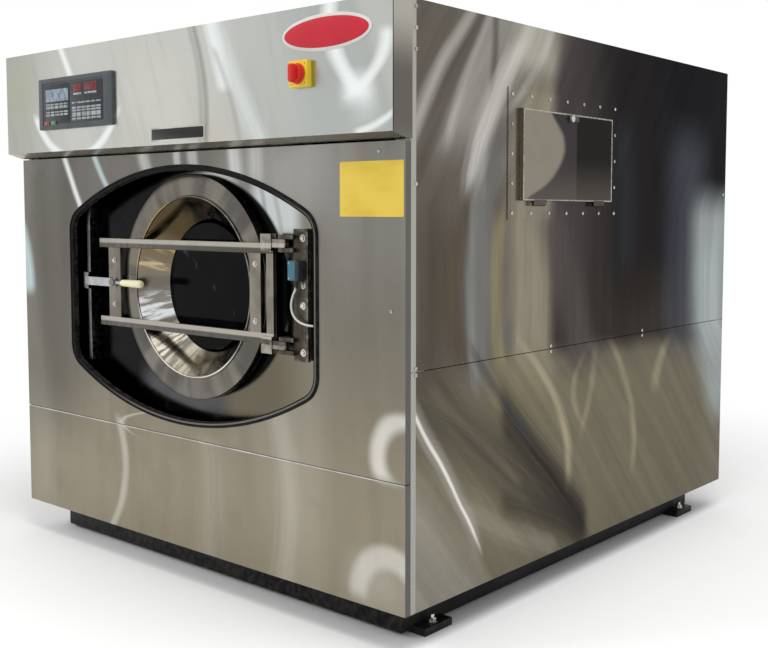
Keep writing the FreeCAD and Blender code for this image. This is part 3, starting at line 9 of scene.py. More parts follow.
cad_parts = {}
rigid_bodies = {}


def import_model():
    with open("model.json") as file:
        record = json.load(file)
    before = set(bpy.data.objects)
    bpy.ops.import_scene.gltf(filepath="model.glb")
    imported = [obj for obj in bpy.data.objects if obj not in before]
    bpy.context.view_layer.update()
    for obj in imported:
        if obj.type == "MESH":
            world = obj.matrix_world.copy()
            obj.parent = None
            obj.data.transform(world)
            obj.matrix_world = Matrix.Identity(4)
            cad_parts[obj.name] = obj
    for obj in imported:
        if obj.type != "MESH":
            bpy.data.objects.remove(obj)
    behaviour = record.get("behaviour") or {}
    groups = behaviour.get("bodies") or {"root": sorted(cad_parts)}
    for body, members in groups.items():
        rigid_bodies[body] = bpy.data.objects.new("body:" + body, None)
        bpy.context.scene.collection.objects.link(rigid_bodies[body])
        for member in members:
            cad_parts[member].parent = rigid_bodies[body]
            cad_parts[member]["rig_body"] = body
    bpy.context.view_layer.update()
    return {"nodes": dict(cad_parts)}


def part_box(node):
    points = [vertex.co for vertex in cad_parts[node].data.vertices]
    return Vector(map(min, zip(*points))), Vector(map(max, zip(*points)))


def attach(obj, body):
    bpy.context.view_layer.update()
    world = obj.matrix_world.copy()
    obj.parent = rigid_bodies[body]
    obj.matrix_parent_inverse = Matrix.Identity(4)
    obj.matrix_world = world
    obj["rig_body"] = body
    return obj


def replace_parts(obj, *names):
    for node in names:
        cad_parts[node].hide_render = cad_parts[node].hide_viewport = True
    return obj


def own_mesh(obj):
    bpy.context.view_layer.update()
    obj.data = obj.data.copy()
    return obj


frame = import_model()
cad_nodes = frame["nodes"]

AXIS_X = -0.005
AXIS_Z = 0.863
FRONT_Y = -0.885
FASCIA_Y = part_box("fascia")[0][1]
FASCIA_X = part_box("fascia")[1][0]


# ---------------------------------------------------------------- node building

def paint(red, green, blue):
    """A colour as it is read from a screen, 0 to 255, as linear light."""
    linear = []
    for part in (red, green, blue):
        share = part / 255
        linear.append(share / 12.92 if share <= 0.04045 else ((share + 0.055) / 1.055) ** 2.4)
    return (*linear, 1.0)


class Nodes:
    """Adds shader nodes to one tree and joins them."""

    def __init__(self, tree):
        self.tree = tree

    def add(self, kind, options=None, **inputs):
        """A node with its options set and its inputs fed; _ in an input's name is a space."""
        made = self.tree.nodes.new("ShaderNode" + kind)
        for option, value in (options or {}).items():
            setattr(made, option, value)
        for name, value in inputs.items():
            self.feed(made.inputs[name.replace("_", " ")], value)
        return made

    def feed(self, socket, value):
        """A link where the value is a socket, and otherwise a plain setting."""
        if isinstance(value, bpy.types.NodeSocket):
            self.tree.links.new(value, socket)
        else:
            socket.default_value = value

    def maths(self, operation, *values):
        """One number worked out from others."""
        made = self.tree.nodes.new("ShaderNodeMath")
        made.operation = operation
        for socket, value in zip(made.inputs, values):
            self.feed(socket, value)
        return made.outputs[0]

    def plus(self, first, second):
        """The sum of two numbers."""
        return self.maths("ADD", first, second)

    def less(self, first, second):
        """The first number less the second."""
        return self.maths("SUBTRACT", first, second)

    def times(self, first, second):
        """The product of two numbers."""
        return self.maths("MULTIPLY", first, second)

    def far(self, across, up):
        """The distance from the middle of a circle."""
        return self.maths("SQRT", self.plus(self.times(across, across), self.times(up, up)))

    def grey(self, shade):
        """A grey of one shade."""
        return self.add("CombineColor", Red=shade, Green=shade, Blue=shade).outputs[0]

    def fade(self, value, start, end, low=0.0, high=1.0):
        """A smooth change from low to high while the value goes from start to end."""
        made = self.add("MapRange", {"interpolation_type": "SMOOTHSTEP"}, Value=value,
                        From_Min=start, From_Max=end, To_Min=low, To_Max=high)
        return made.outputs["Result"]

    def band(self, value, middle, half, soft):
        """One inside a band about the middle, and nothing outside it."""
        away = self.maths("ABSOLUTE", self.less(value, middle))
        return self.fade(away, half, half + soft, 1.0, 0.0)

    def blend(self, share, first, second, way="MIX"):
        """Two colours blended by a share."""
        made = self.tree.nodes.new("ShaderNodeMix")
        made.data_type = "RGBA"
        made.blend_type = way
        self.feed(made.inputs["Factor"], share)
        colours = [socket for socket in made.inputs if socket.type == "RGBA"]
        self.feed(colours[0], first)
        self.feed(colours[1], second)
        return [socket for socket in made.outputs if socket.type == "RGBA"][0]

    def noise(self, vector, scale, detail=2.0, roughness=0.5, warp=0.0):
        """Soft noise from 0 to 1."""
        made = self.add("TexNoise", Vector=vector, Scale=scale, Detail=detail,
                        Roughness=roughness, Distortion=warp)
        return made.outputs["Fac"]

    def stretched(self, vector, x, y, z):
        """A position with each direction scaled."""
        made = self.add("VectorMath", {"operation": "MULTIPLY"})
        self.feed(made.inputs[0], vector)
        made.inputs[1].default_value = (x, y, z)
        return made.outputs[0]

    def place(self):
        """The position on the piece, and its three coordinates."""
        vector = self.add("TexCoord").outputs["Object"]
        parts = self.add("SeparateXYZ", Vector=vector)
        return vector, parts.outputs["X"], parts.outputs["Y"], parts.outputs["Z"]

    def bump(self, height, depth, strength=1.0):
        """A normal from a height, with the depth in metres."""
        return self.add("Bump", Height=height, Distance=depth, Strength=strength).outputs["Normal"]


def shared_group(name, inputs, outputs):
    """An empty node group with named inputs (number or vector) and outputs."""
    tree = bpy.data.node_groups.new(name, "ShaderNodeTree")
    for title, kind, value in inputs:
        socket = tree.interface.new_socket(name=title, in_out="INPUT", socket_type=kind)
        if value is not None:
            socket.default_value = value
    for title, kind in outputs:
        tree.interface.new_socket(name=title, in_out="OUTPUT", socket_type=kind)
    nodes = Nodes(tree)
    start = tree.nodes.new("NodeGroupInput")
    end = tree.nodes.new("NodeGroupOutput")
    return tree, nodes, start.outputs, end.inputs


def use_group(nodes, tree, **inputs):
    """A group placed in a material, with its inputs fed."""
    made = nodes.tree.nodes.new("ShaderNodeGroup")
    made.node_tree = tree
    for name, value in inputs.items():
        nodes.feed(made.inputs[name.replace("_", " ")], value)
    return made.outputs


NUMBER = "NodeSocketFloat"
VECTOR = "NodeSocketVector"


def make_hairline_group():
    """Fine parallel scratches of a brushed sheet, along the direction with the small scale."""
    tree, nodes, given, result = shared_group(
        "Hairline brushing",
        [("Position", VECTOR, None), ("Fineness", NUMBER, 1.0), ("Long waves", NUMBER, 6.0)],
        [("Scratches", NUMBER), ("Waves", NUMBER)])
    fine = nodes.noise(given["Position"], given["Fineness"], 3.0, 0.65)
    long = nodes.noise(given["Position"], given["Long waves"], 1.0, 0.4)
    nodes.feed(result["Scratches"], fine)
    nodes.feed(result["Waves"], long)
    return tree


def make_wear_group():
    """Worn edges: bright where the surface is sharp and a broken noise lets it through."""
    tree, nodes, given, result = shared_group(
        "Edge wear",
        [("Position", VECTOR, None), ("Amount", NUMBER, 0.5)],
        [("Worn", NUMBER)])
    sharp = nodes.add("NewGeometry").outputs["Pointiness"]
    edge = nodes.fade(sharp, 0.52, 0.60)
    broken = nodes.fade(nodes.noise(given["Position"], 60.0, 4.0, 0.6), 0.40, 0.62)
    worn = nodes.times(nodes.times(edge, broken), given["Amount"])
    nodes.feed(result["Worn"], worn)
    return tree


def make_dust_group():
    """Dust and hand marks: soft blotches, thicker towards the floor."""
    tree, nodes, given, result = shared_group(
        "Dust and hand marks",
        [("Position", VECTOR, None), ("Size", NUMBER, 3.0)],
        [("Dust", NUMBER), ("Marks", NUMBER)])
    height = nodes.add("SeparateXYZ", Vector=given["Position"]).outputs["Z"]
    low = nodes.fade(height, 0.0, 0.5, 1.0, 0.25)
    cloud = nodes.noise(given["Position"], given["Size"], 5.0, 0.62)
    nodes.feed(result["Dust"], nodes.times(nodes.fade(cloud, 0.42, 0.75), low))
    marks = nodes.noise(given["Position"], nodes.times(given["Size"], 4.0), 4.0, 0.55)
    nodes.feed(result["Marks"], nodes.fade(marks, 0.45, 0.70))
    return tree


def make_grain_group():
    """The even pebble of moulded plastic, rubber and powder coating."""
    tree, nodes, given, result = shared_group(
        "Moulded grain",
        [("Position", VECTOR, None), ("Size", NUMBER, 900.0)],
        [("Grain", NUMBER)])
    cells = nodes.add("TexVoronoi", {"feature": "SMOOTH_F1"}, Vector=given["Position"],
                      Scale=given["Size"]).outputs["Distance"]
    soft = nodes.noise(given["Position"], given["Size"], 2.0, 0.5)
    nodes.feed(result["Grain"], nodes.plus(nodes.times(cells, 0.6),
                                            nodes.times(soft, 0.4)))
    return tree


def make_reflection_group():
    """The tall wavy light and dark bands that a polished sheet shows of a room."""
    tree, nodes, given, result = shared_group(
        "Room bands",
        [("Along", NUMBER, 0.0), ("Height", NUMBER, 0.0), ("Lean", NUMBER, 0.1),
         ("Width", NUMBER, 3.0), ("Sway", NUMBER, 0.2)],
        [("Bands", NUMBER), ("Fine bands", NUMBER)])
    spot = nodes.add("CombineXYZ", X=given["Along"], Y=0.0, Z=given["Height"]).outputs[0]
    sway = nodes.noise(spot, 1.3, 2.0, 0.5)
    shift = nodes.times(nodes.less(sway, 0.5), given["Sway"])
    lean = nodes.times(given["Height"], given["Lean"])
    along = nodes.plus(nodes.plus(given["Along"], shift), lean)
    tall = nodes.times(given["Height"], 0.12)
    broad = nodes.add("CombineXYZ", X=along, Y=0.0, Z=tall).outputs[0]
    nodes.feed(result["Bands"], nodes.noise(broad, given["Width"], 1.0, 0.45))
    narrow = nodes.times(given["Width"], 3.4)
    nodes.feed(result["Fine bands"], nodes.noise(broad, narrow, 2.0, 0.5))
    return tree


def make_streak_group():
    """A soft curved streak of light or shade, whose middle follows a bent line."""
    tree, nodes, given, result = shared_group(
        "Curved streak",
        [("Across", NUMBER, 0.0), ("Along", NUMBER, 0.0), ("Start", NUMBER, 0.0),
         ("End", NUMBER, 1.0), ("Middle", NUMBER, 0.0), ("Slope", NUMBER, 0.0),
         ("Bend", NUMBER, 0.0), ("Half", NUMBER, 0.01), ("Soft", NUMBER, 0.02),
         ("Fade", NUMBER, 0.05)],
        [("Mask", NUMBER)])
    run = nodes.less(given["Along"], given["Start"])
    lean = nodes.plus(given["Slope"], nodes.times(run, given["Bend"]))
    middle = nodes.plus(given["Middle"], nodes.times(run, lean))
    offset = nodes.less(given["Across"], middle)
    flow = nodes.add("CombineXYZ", X=nodes.times(offset, 75.0),
                     Y=nodes.times(given["Along"], 2.2),
                     Z=nodes.times(given["Middle"], 9.0)).outputs[0]
    thread = nodes.noise(flow, 1.0, 2.0, 0.6)
    ragged = nodes.times(nodes.less(thread, 0.5), given["Soft"])
    away = nodes.plus(nodes.maths("ABSOLUTE", offset), ragged)
    outer = nodes.plus(given["Half"], given["Soft"])
    core = nodes.times(given["Half"], 0.3)
    line = nodes.times(nodes.fade(away, core, outer, 1.0, 0.0),
                       nodes.fade(thread, 0.30, 0.62, 0.72, 1.0))
    before = nodes.less(given["Start"], given["Fade"])
    after = nodes.plus(given["End"], given["Fade"])
    begins = nodes.fade(given["Along"], before, given["Start"])
    ends = nodes.fade(given["Along"], given["End"], after, 1.0, 0.0)
    nodes.feed(result["Mask"], nodes.times(line, nodes.times(begins, ends)))
    return tree


def make_patch_group():
    """A soft patch between two sides and two heights."""
    tree, nodes, given, result = shared_group(
        "Soft patch",
        [("Across", NUMBER, 0.0), ("Along", NUMBER, 0.0), ("Left", NUMBER, 0.0),
         ("Right", NUMBER, 1.0), ("Low", NUMBER, 0.0), ("High", NUMBER, 1.0),
         ("Soft", NUMBER, 0.1)],
        [("Mask", NUMBER)])
    mask = None
    for value, edge, way in (("Across", "Left", 1), ("Across", "Right", -1),
                             ("Along", "Low", 1), ("Along", "High", -1)):
        beyond = nodes.times(nodes.less(given[value], given[edge]), way)
        half = nodes.times(given["Soft"], 0.5)
        side = nodes.fade(beyond, nodes.times(half, -1.0), half)
        mask = side if mask is None else nodes.times(mask, side)
    nodes.feed(result["Mask"], mask)
    return tree


hairline_group = make_hairline_group()
wear_group = make_wear_group()
dust_group = make_dust_group()
grain_group = make_grain_group()
bands_group = make_reflection_group()
streak_group = make_streak_group()
patch_group = make_patch_group()


def new_material(name):
    """An empty material with its surface shader, and the node helper."""
    made = bpy.data.materials.new(name)
    made.use_nodes = True
    made.node_tree.nodes.clear()
    nodes = Nodes(made.node_tree)
    shader = nodes.add("BsdfPrincipled")
    end = nodes.add("OutputMaterial")
    made.node_tree.links.new(shader.outputs[0], end.inputs["Surface"])
    return made, nodes, shader


def settle(nodes, shader, **values):
    """Feeds the surface shader; _ in an input's name is a space."""
    for name, value in values.items():
        nodes.feed(shader.inputs[name.replace("_", " ")], value)


# ---------------------------------------------------------------- materials

def hand_marks(nodes, position, size):
    """The mask of the hand marks."""
    return use_group(nodes, dust_group, Position=position, Size=size)["Marks"]


def streak(nodes, tone, across, along, route, half, soft, share, colour, fade=0.05):
    """Paints a curved streak over a tone; route is three (across, along) points, along rising."""
    (across_1, along_1), (across_2, along_2), (across_3, along_3) = route
    first = (across_2 - across_1) / (along_2 - along_1)
    second = (across_3 - across_2) / (along_3 - along_2)
    bend = (second - first) / (along_3 - along_1)
    slope = first - bend * (along_2 - along_1)
    mask = use_group(nodes, streak_group, Across=across, Along=along, Start=along_1, End=along_3,
                     Middle=across_1, Slope=slope, Bend=bend, Half=half, Soft=soft,
                     Fade=fade)["Mask"]
    return nodes.blend(nodes.times(mask, share), tone, colour)


def patch(nodes, tone, across, along, sides, heights, soft, share, colour):
    """Paints a soft patch over a tone."""
    mask = use_group(nodes, patch_group, Across=across, Along=along, Left=sides[0], Right=sides[1],
                     Low=heights[0], High=heights[1], Soft=soft)["Mask"]
    return nodes.blend(nodes.times(mask, share), tone, colour)


def arc(nodes, tone, first, second, centre, radius, half, soft, heights, share, colour):
    """Paints part of a circle over a tone, kept between two heights."""
    across = nodes.less(first, centre[0])
    up = nodes.less(second, centre[1])
    far = nodes.far(across, up)
    ring = nodes.band(far, radius, half, soft)
    low = nodes.fade(second, heights[0], heights[0] + 0.04)
    high = nodes.fade(second, heights[1] - 0.04, heights[1], 1.0, 0.0)
    mask = nodes.times(ring, nodes.times(low, high))
    return nodes.blend(nodes.times(mask, share), tone, colour)


def drifted(nodes, position, scale, reach):
    """The three coordinates, each pushed about a little, so that painted shapes look grown."""
    push = nodes.add("TexNoise", Vector=position, Scale=scale, Detail=2.0, Roughness=0.5)
    away = nodes.add("VectorMath", {"operation": "SUBTRACT"})
    nodes.feed(away.inputs[0], push.outputs["Color"])
    away.inputs[1].default_value = (0.5, 0.5, 0.5)
    moved = nodes.add("VectorMath", {"operation": "MULTIPLY_ADD"})
    nodes.feed(moved.inputs[0], away.outputs[0])
    moved.inputs[1].default_value = (reach, reach, reach)
    nodes.feed(moved.inputs[2], position)
    parts = nodes.add("SeparateXYZ", Vector=moved.outputs[0])
    return parts.outputs["X"], parts.outputs["Y"], parts.outputs["Z"]


def brushed(nodes, tone, position, grain, low, high):
    """The tone with fine brushing lines, and the height of the lines."""
    lines = use_group(nodes, hairline_group, Position=nodes.stretched(position, *grain),
                      Fineness=14.0, Long_waves=1.2)["Scratches"]
    shade = nodes.fade(lines, 0.25, 0.75, low, high)
    return nodes.blend(1.0, tone, nodes.grey(shade), "MULTIPLY"), lines


def facing_share(nodes, axis, start=0.4, end=0.7):
    """One where the surface faces along an axis, either way."""
    normal = nodes.add("NewGeometry").outputs["Normal"]
    return nodes.fade(nodes.maths("ABSOLUTE", nodes.add("SeparateXYZ", Vector=normal).outputs[axis]),
                      start, end)


def flowing(nodes, tone, across, along, fine, low, high):
    """The tone with fine streaks that follow a direction: lines that polishing leaves, and fine bands of
    painted reflection.
    """
    spot = nodes.add("CombineXYZ", X=across, Y=nodes.times(along, 0.06), Z=0.0).outputs[0]
    shade = nodes.fade(nodes.noise(spot, fine, 4.0, 0.65), 0.28, 0.72, low, high)
    return nodes.blend(1.0, tone, nodes.grey(shade), "MULTIPLY")


def sloped(nodes, across, along, lean, about):
    """A sideways coordinate that leans with height."""
    rise = nodes.times(nodes.less(along, about), lean)
    return nodes.less(across, rise)


def front_steel():
    """Brushed stainless of the front panel and the kick panel, with painted reflections, painted highlights,
    and painted shade on its sideways faces.
    """
    made, nodes, shader = new_material("Brushed stainless front")
    position, flat_x, _, flat_z = nodes.place()
    x, _, z = drifted(nodes, position, 3.0, 0.02)
    # Painted reflections of the room: broad light and dark patches and bands.
    tone = nodes.blend(nodes.fade(z, 0.25, 1.10), paint(142, 134, 116), paint(112, 109, 102))
    tone = nodes.blend(nodes.fade(z, 1.02, 1.24), tone, paint(116, 113, 108))
    tone = patch(nodes, tone, x, z, (-0.90, -0.55), (0.42, 1.30), 0.30, 0.85, paint(94, 91, 84))
    tone = patch(nodes, tone, x, z, (0.20, 0.62), (1.08, 1.30), 0.20, 0.60, paint(164, 163, 158))
    tone = patch(nodes, tone, x, z, (0.55, 0.95), (0.90, 1.30), 0.30, 0.60, paint(134, 132, 127))
    bands = use_group(nodes, bands_group, Along=x, Height=z, Lean=0.05, Width=3.2, Sway=0.12)
    light = nodes.fade(bands["Bands"], 0.48, 0.74)
    tone = nodes.blend(nodes.times(light, 0.14), tone, paint(206, 202, 192))
    dark = nodes.fade(bands["Fine bands"], 0.50, 0.76)
    tone = nodes.blend(nodes.times(dark, 0.12), tone, paint(88, 82, 72))
    # Painted highlights: glints of light as thin curved streaks, and soft light streaks low down.
    white, cold = paint(236, 238, 236), paint(205, 224, 226)
    soft_white = paint(206, 202, 190)
    for route, half, soft, share, colour in (
            (((-0.515, 1.10), (-0.555, 1.17), (-0.60, 1.25)), 0.006, 0.018, 0.95, white),
            (((-0.375, 1.165), (-0.40, 1.20), (-0.43, 1.25)), 0.005, 0.018, 0.75, cold),
            (((-0.83, 0.84), (-0.84, 0.94), (-0.87, 1.03)), 0.014, 0.036, 0.85, cold),
            (((-0.16, 1.20), (-0.17, 1.22), (-0.18, 1.26)), 0.016, 0.030, 0.45, white),
            (((0.00, 1.17), (-0.01, 1.20), (-0.02, 1.26)), 0.010, 0.016, 0.50, white),
            (((0.07, 1.17), (0.06, 1.20), (0.05, 1.26)), 0.020, 0.014, 0.45, white),
            (((0.25, 1.10), (0.24, 1.18), (0.23, 1.26)), 0.014, 0.026, 0.60, white),
            (((0.31, 1.06), (0.32, 1.15), (0.32, 1.26)), 0.010, 0.036, 0.35, white),
            (((-0.37, 0.10), (-0.30, 0.26), (-0.32, 0.42)), 0.004, 0.024, 0.60, soft_white),
            (((-0.31, 0.43), (-0.28, 0.455), (-0.20, 0.475)), 0.005, 0.018, 0.55, soft_white),
            (((0.42, 0.10), (0.44, 0.34), (0.38, 0.60)), 0.010, 0.060, 0.26, soft_white),
            (((0.10, 0.10), (0.13, 0.25), (0.12, 0.42)), 0.020, 0.080, 0.16, soft_white)):
        tone = streak(nodes, tone, x, z, route, half, soft, share, colour)
    # Painted highlights: arcs and a patch of light at the lower right.
    for centre, radius, half, heights, share in (((0.855, 0.49), 0.095, 0.006, (0.41, 0.62), 0.80),
                                                 ((0.80, 0.13), 0.105, 0.012, (0.10, 0.30), 0.60)):
        tone = arc(nodes, tone, x, z, centre, radius, half, 0.035, heights, share,
                   paint(216, 214, 206))
    tone = patch(nodes, tone, x, z, (0.66, 0.84), (0.10, 0.22), 0.12, 0.30, paint(204, 202, 194))
    # Painted shade on the faces that turn sideways.
    tone = nodes.blend(facing_share(nodes, "X"), tone, paint(98, 97, 93))
    tone = flowing(nodes, tone, flat_x, flat_z, 16.0, 0.965, 1.035)
    tone, lines = brushed(nodes, tone, position, (0.4, 0.4, 160), 0.955, 1.045)
    marks = hand_marks(nodes, position, 2.4)
    settle(nodes, shader, Base_Color=tone, Metallic=1.0,
           Roughness=nodes.fade(marks, 0.0, 1.0, 0.30, 0.42),
           Normal=nodes.bump(lines, 0.00005))
    return made


def fascia_steel():
    """Bright brushed stainless of the fascia, with painted reflections, the curved glints of the lamps
    painted on it as highlights, and painted shade on its underside and ends.
    """
    made, nodes, shader = new_material("Bright stainless fascia")
    position = nodes.place()[0]
    x, _, z = drifted(nodes, position, 4.0, 0.012)
    # Painted reflections: broad tone across the fascia, light and dark patches and bands.
    tone = nodes.blend(nodes.fade(x, -0.85, -0.45), paint(168, 170, 161), paint(198, 198, 192))
    tone = nodes.blend(nodes.fade(x, 0.10, 0.60), tone, paint(177, 181, 177))
    tone = patch(nodes, tone, x, z, (-0.84, -0.70), (1.38, 1.54), 0.12, 0.5, paint(170, 176, 148))
    tone = patch(nodes, tone, x, z, (-0.20, 0.08), (1.33, 1.52), 0.14, 0.4, paint(208, 204, 196))
    tone = patch(nodes, tone, x, z, (0.12, 0.30), (1.24, 1.34), 0.10, 0.6, paint(190, 184, 172))
    bands = use_group(nodes, bands_group, Along=x, Height=z, Lean=0.3, Width=5.0, Sway=0.2)
    tone = nodes.blend(nodes.times(nodes.fade(bands["Bands"], 0.46, 0.74), 0.26), tone,
                       paint(218, 217, 211))
    tone = nodes.blend(nodes.times(nodes.fade(bands["Fine bands"], 0.48, 0.74), 0.20),
                       tone, paint(156, 154, 145))
    # Painted highlights: the lamps' glints as curved streaks, patches and an arc, with dim painted
    # reflection lines.
    white, pale, dim = paint(242, 247, 246), paint(222, 230, 229), paint(140, 139, 132)
    for route, half, soft, share, colour in (
            (((-0.475, 1.495), (-0.50, 1.54), (-0.53, 1.59)), 0.008, 0.016, 0.95, white),
            (((0.40, 1.26), (0.30, 1.42), (0.215, 1.59)), 0.010, 0.045, 0.62, pale),
            (((0.25, 1.42), (0.225, 1.50), (0.195, 1.59)), 0.014, 0.030, 0.75, white),
            (((0.315, 1.26), (0.262, 1.42), (0.22, 1.50)), 0.003, 0.016, 0.40, dim),
            (((0.176, 1.26), (0.170, 1.44), (0.125, 1.59)), 0.004, 0.014, 0.70, dim),
            (((0.150, 1.26), (0.150, 1.44), (0.104, 1.59)), 0.002, 0.014, 0.45, dim),
            (((0.735, 1.375), (0.690, 1.43), (0.652, 1.59)), 0.010, 0.032, 0.95, white),
            (((0.745, 1.375), (0.795, 1.415), (0.835, 1.49)), 0.004, 0.030, 0.90, white)):
        tone = streak(nodes, tone, x, z, route, half, soft, share, colour, fade=0.03)
    tone = patch(nodes, tone, x, z, (0.695, 0.785), (1.345, 1.405), 0.06, 0.85, white)
    tone = patch(nodes, tone, x, z, (0.73, 0.80), (1.30, 1.37), 0.07, 0.35, pale)
    tone = streak(nodes, tone, z, x, ((1.274, 0.75), (1.288, 0.80), (1.306, 0.84)), 0.004, 0.014,
                  0.8, white, fade=0.03)
    tone = arc(nodes, tone, x, z, (-0.455, 1.50), 0.252, 0.004, 0.018, (1.20, 1.40), 0.85, white)
    # Painted shade on the faces that look downwards.
    down = nodes.add("SeparateXYZ", Vector=nodes.add("NewGeometry").outputs["Normal"]).outputs["Z"]
    tone = nodes.blend(nodes.fade(down, -0.05, -0.15), tone, paint(150, 143, 128))
    # Painted shade on the end faces, lighter towards the top.
    ends = nodes.blend(nodes.fade(z, 1.40, 1.56), paint(102, 96, 92), paint(170, 166, 156))
    ends = nodes.blend(nodes.fade(z, 1.30, 1.24), ends, paint(112, 110, 106))
    tone = nodes.blend(facing_share(nodes, "X"), tone, ends)
    tone, lines = brushed(nodes, tone, position, (0.4, 0.4, 160), 0.972, 1.028)
    marks = hand_marks(nodes, position, 2.4)
    settle(nodes, shader, Base_Color=tone, Metallic=1.0,
           Roughness=nodes.fade(marks, 0.0, 1.0, 0.26, 0.36), Normal=nodes.bump(lines, 0.00004))
    return made


def room_on_side(nodes, position):
    """Painted reflections: the tall bent light and dark shapes that the room leaves on the polished sides.
    """
    _, y, z = drifted(nodes, position, 2.6, 0.045)
    tone = nodes.blend(nodes.fade(z, 0.75, 0.55), paint(101, 95, 88), paint(117, 111, 94))
    high = nodes.maths("MAXIMUM", nodes.less(z, 1.10), 0.0)
    deep = nodes.maths("MAXIMUM", nodes.less(0.70, z), 0.0)
    risen = nodes.less(y, nodes.times(high, 0.62))
    sunk = nodes.less(risen, nodes.times(deep, 0.9))
    # Painted reflections: soft patches of light and shade.
    for across, sides, heights, soft, share, colour in (
            (y, (-0.88, -0.66), (0.66, 1.10), 0.22, 0.70, paint(80, 73, 63)),
            (risen, (-0.90, -0.72), (1.20, 1.60), 0.10, 0.40, paint(118, 113, 106)),
            (risen, (-0.88, -0.64), (1.26, 1.66), 0.14, 0.75, paint(152, 150, 142)),
            (y, (-0.43, -0.25), (1.46, 1.70), 0.11, 0.90, paint(180, 177, 165)),
            (risen, (-0.645, -0.545), (0.66, 1.25), 0.11, 0.75, paint(120, 121, 119)),
            (y, (-0.46, -0.25), (0.60, 1.44), 0.12, 0.85, paint(146, 139, 122)),
            (y, (-0.49, -0.44), (0.70, 0.79), 0.07, 0.60, paint(98, 100, 100)),
            (y, (-0.54, -0.27), (0.52, 0.71), 0.12, 0.60, paint(122, 114, 90)),
            (sunk, (-1.60, -1.10), (0.00, 0.60), 0.20, 0.85, paint(146, 141, 130)),
            (y, (0.76, 1.00), (0.00, 0.42), 0.22, 0.50, paint(132, 124, 113))):
        tone = patch(nodes, tone, across, z, sides, heights, soft, share, colour)
    # Painted reflections: bent streaks of light and shade.
    light, beige, brown = paint(186, 184, 176), paint(172, 163, 136), paint(84, 77, 69)
    for route, half, soft, share, colour in (
            (((-0.85, 1.28), (-0.75, 1.45), (-0.63, 1.60)), 0.008, 0.034, 0.60, light),
            (((-0.81, 1.20), (-0.71, 1.42), (-0.59, 1.60)), 0.010, 0.040, 0.60, brown),
            (((-0.71, 1.30), (-0.65, 1.44), (-0.57, 1.58)), 0.004, 0.026, 0.50, light),
            (((-0.545, 1.43), (-0.54, 1.50), (-0.535, 1.60)), 0.003, 0.020, 0.75, brown),
            (((-0.61, 1.18), (-0.555, 1.34), (-0.45, 1.50)), 0.016, 0.050, 0.90, paint(198, 196, 189)),
            (((-0.53, 1.16), (-0.48, 1.32), (-0.38, 1.44)), 0.008, 0.044, 0.60, paint(104, 102, 98)),
            (((-0.42, 1.40), (-0.33, 1.50), (-0.27, 1.60)), 0.004, 0.030, 0.50, light),
            (((-0.67, 0.72), (-0.70, 0.92), (-0.62, 1.12)), 0.012, 0.060, 0.60, paint(84, 72, 56)),
            (((-0.61, 0.66), (-0.635, 0.90), (-0.60, 1.16)), 0.004, 0.030, 0.50, paint(142, 144, 140)),
            (((-0.50, 0.72), (-0.52, 0.84), (-0.51, 1.02)), 0.006, 0.040, 0.60, paint(156, 145, 108)),
            (((-0.165, 0.33), (-0.215, 0.52), (-0.34, 0.68)), 0.004, 0.026, 0.80, beige),
            (((-0.125, 0.50), (-0.120, 0.61), (-0.06, 0.68)), 0.003, 0.022, 0.42, beige),
            (((-0.065, 0.48), (-0.030, 0.58), (-0.02, 0.67)), 0.003, 0.022, 0.40, beige),
            (((0.235, 0.32), (0.190, 0.52), (0.09, 0.67)), 0.003, 0.028, 0.46, beige),
            (((0.39, 0.55), (0.42, 0.61), (0.46, 0.66)), 0.010, 0.040, 0.50, beige)):
        tone = streak(nodes, tone, y, z, route, half, soft, share, colour, fade=0.09)
    return y, z, sunk, tone


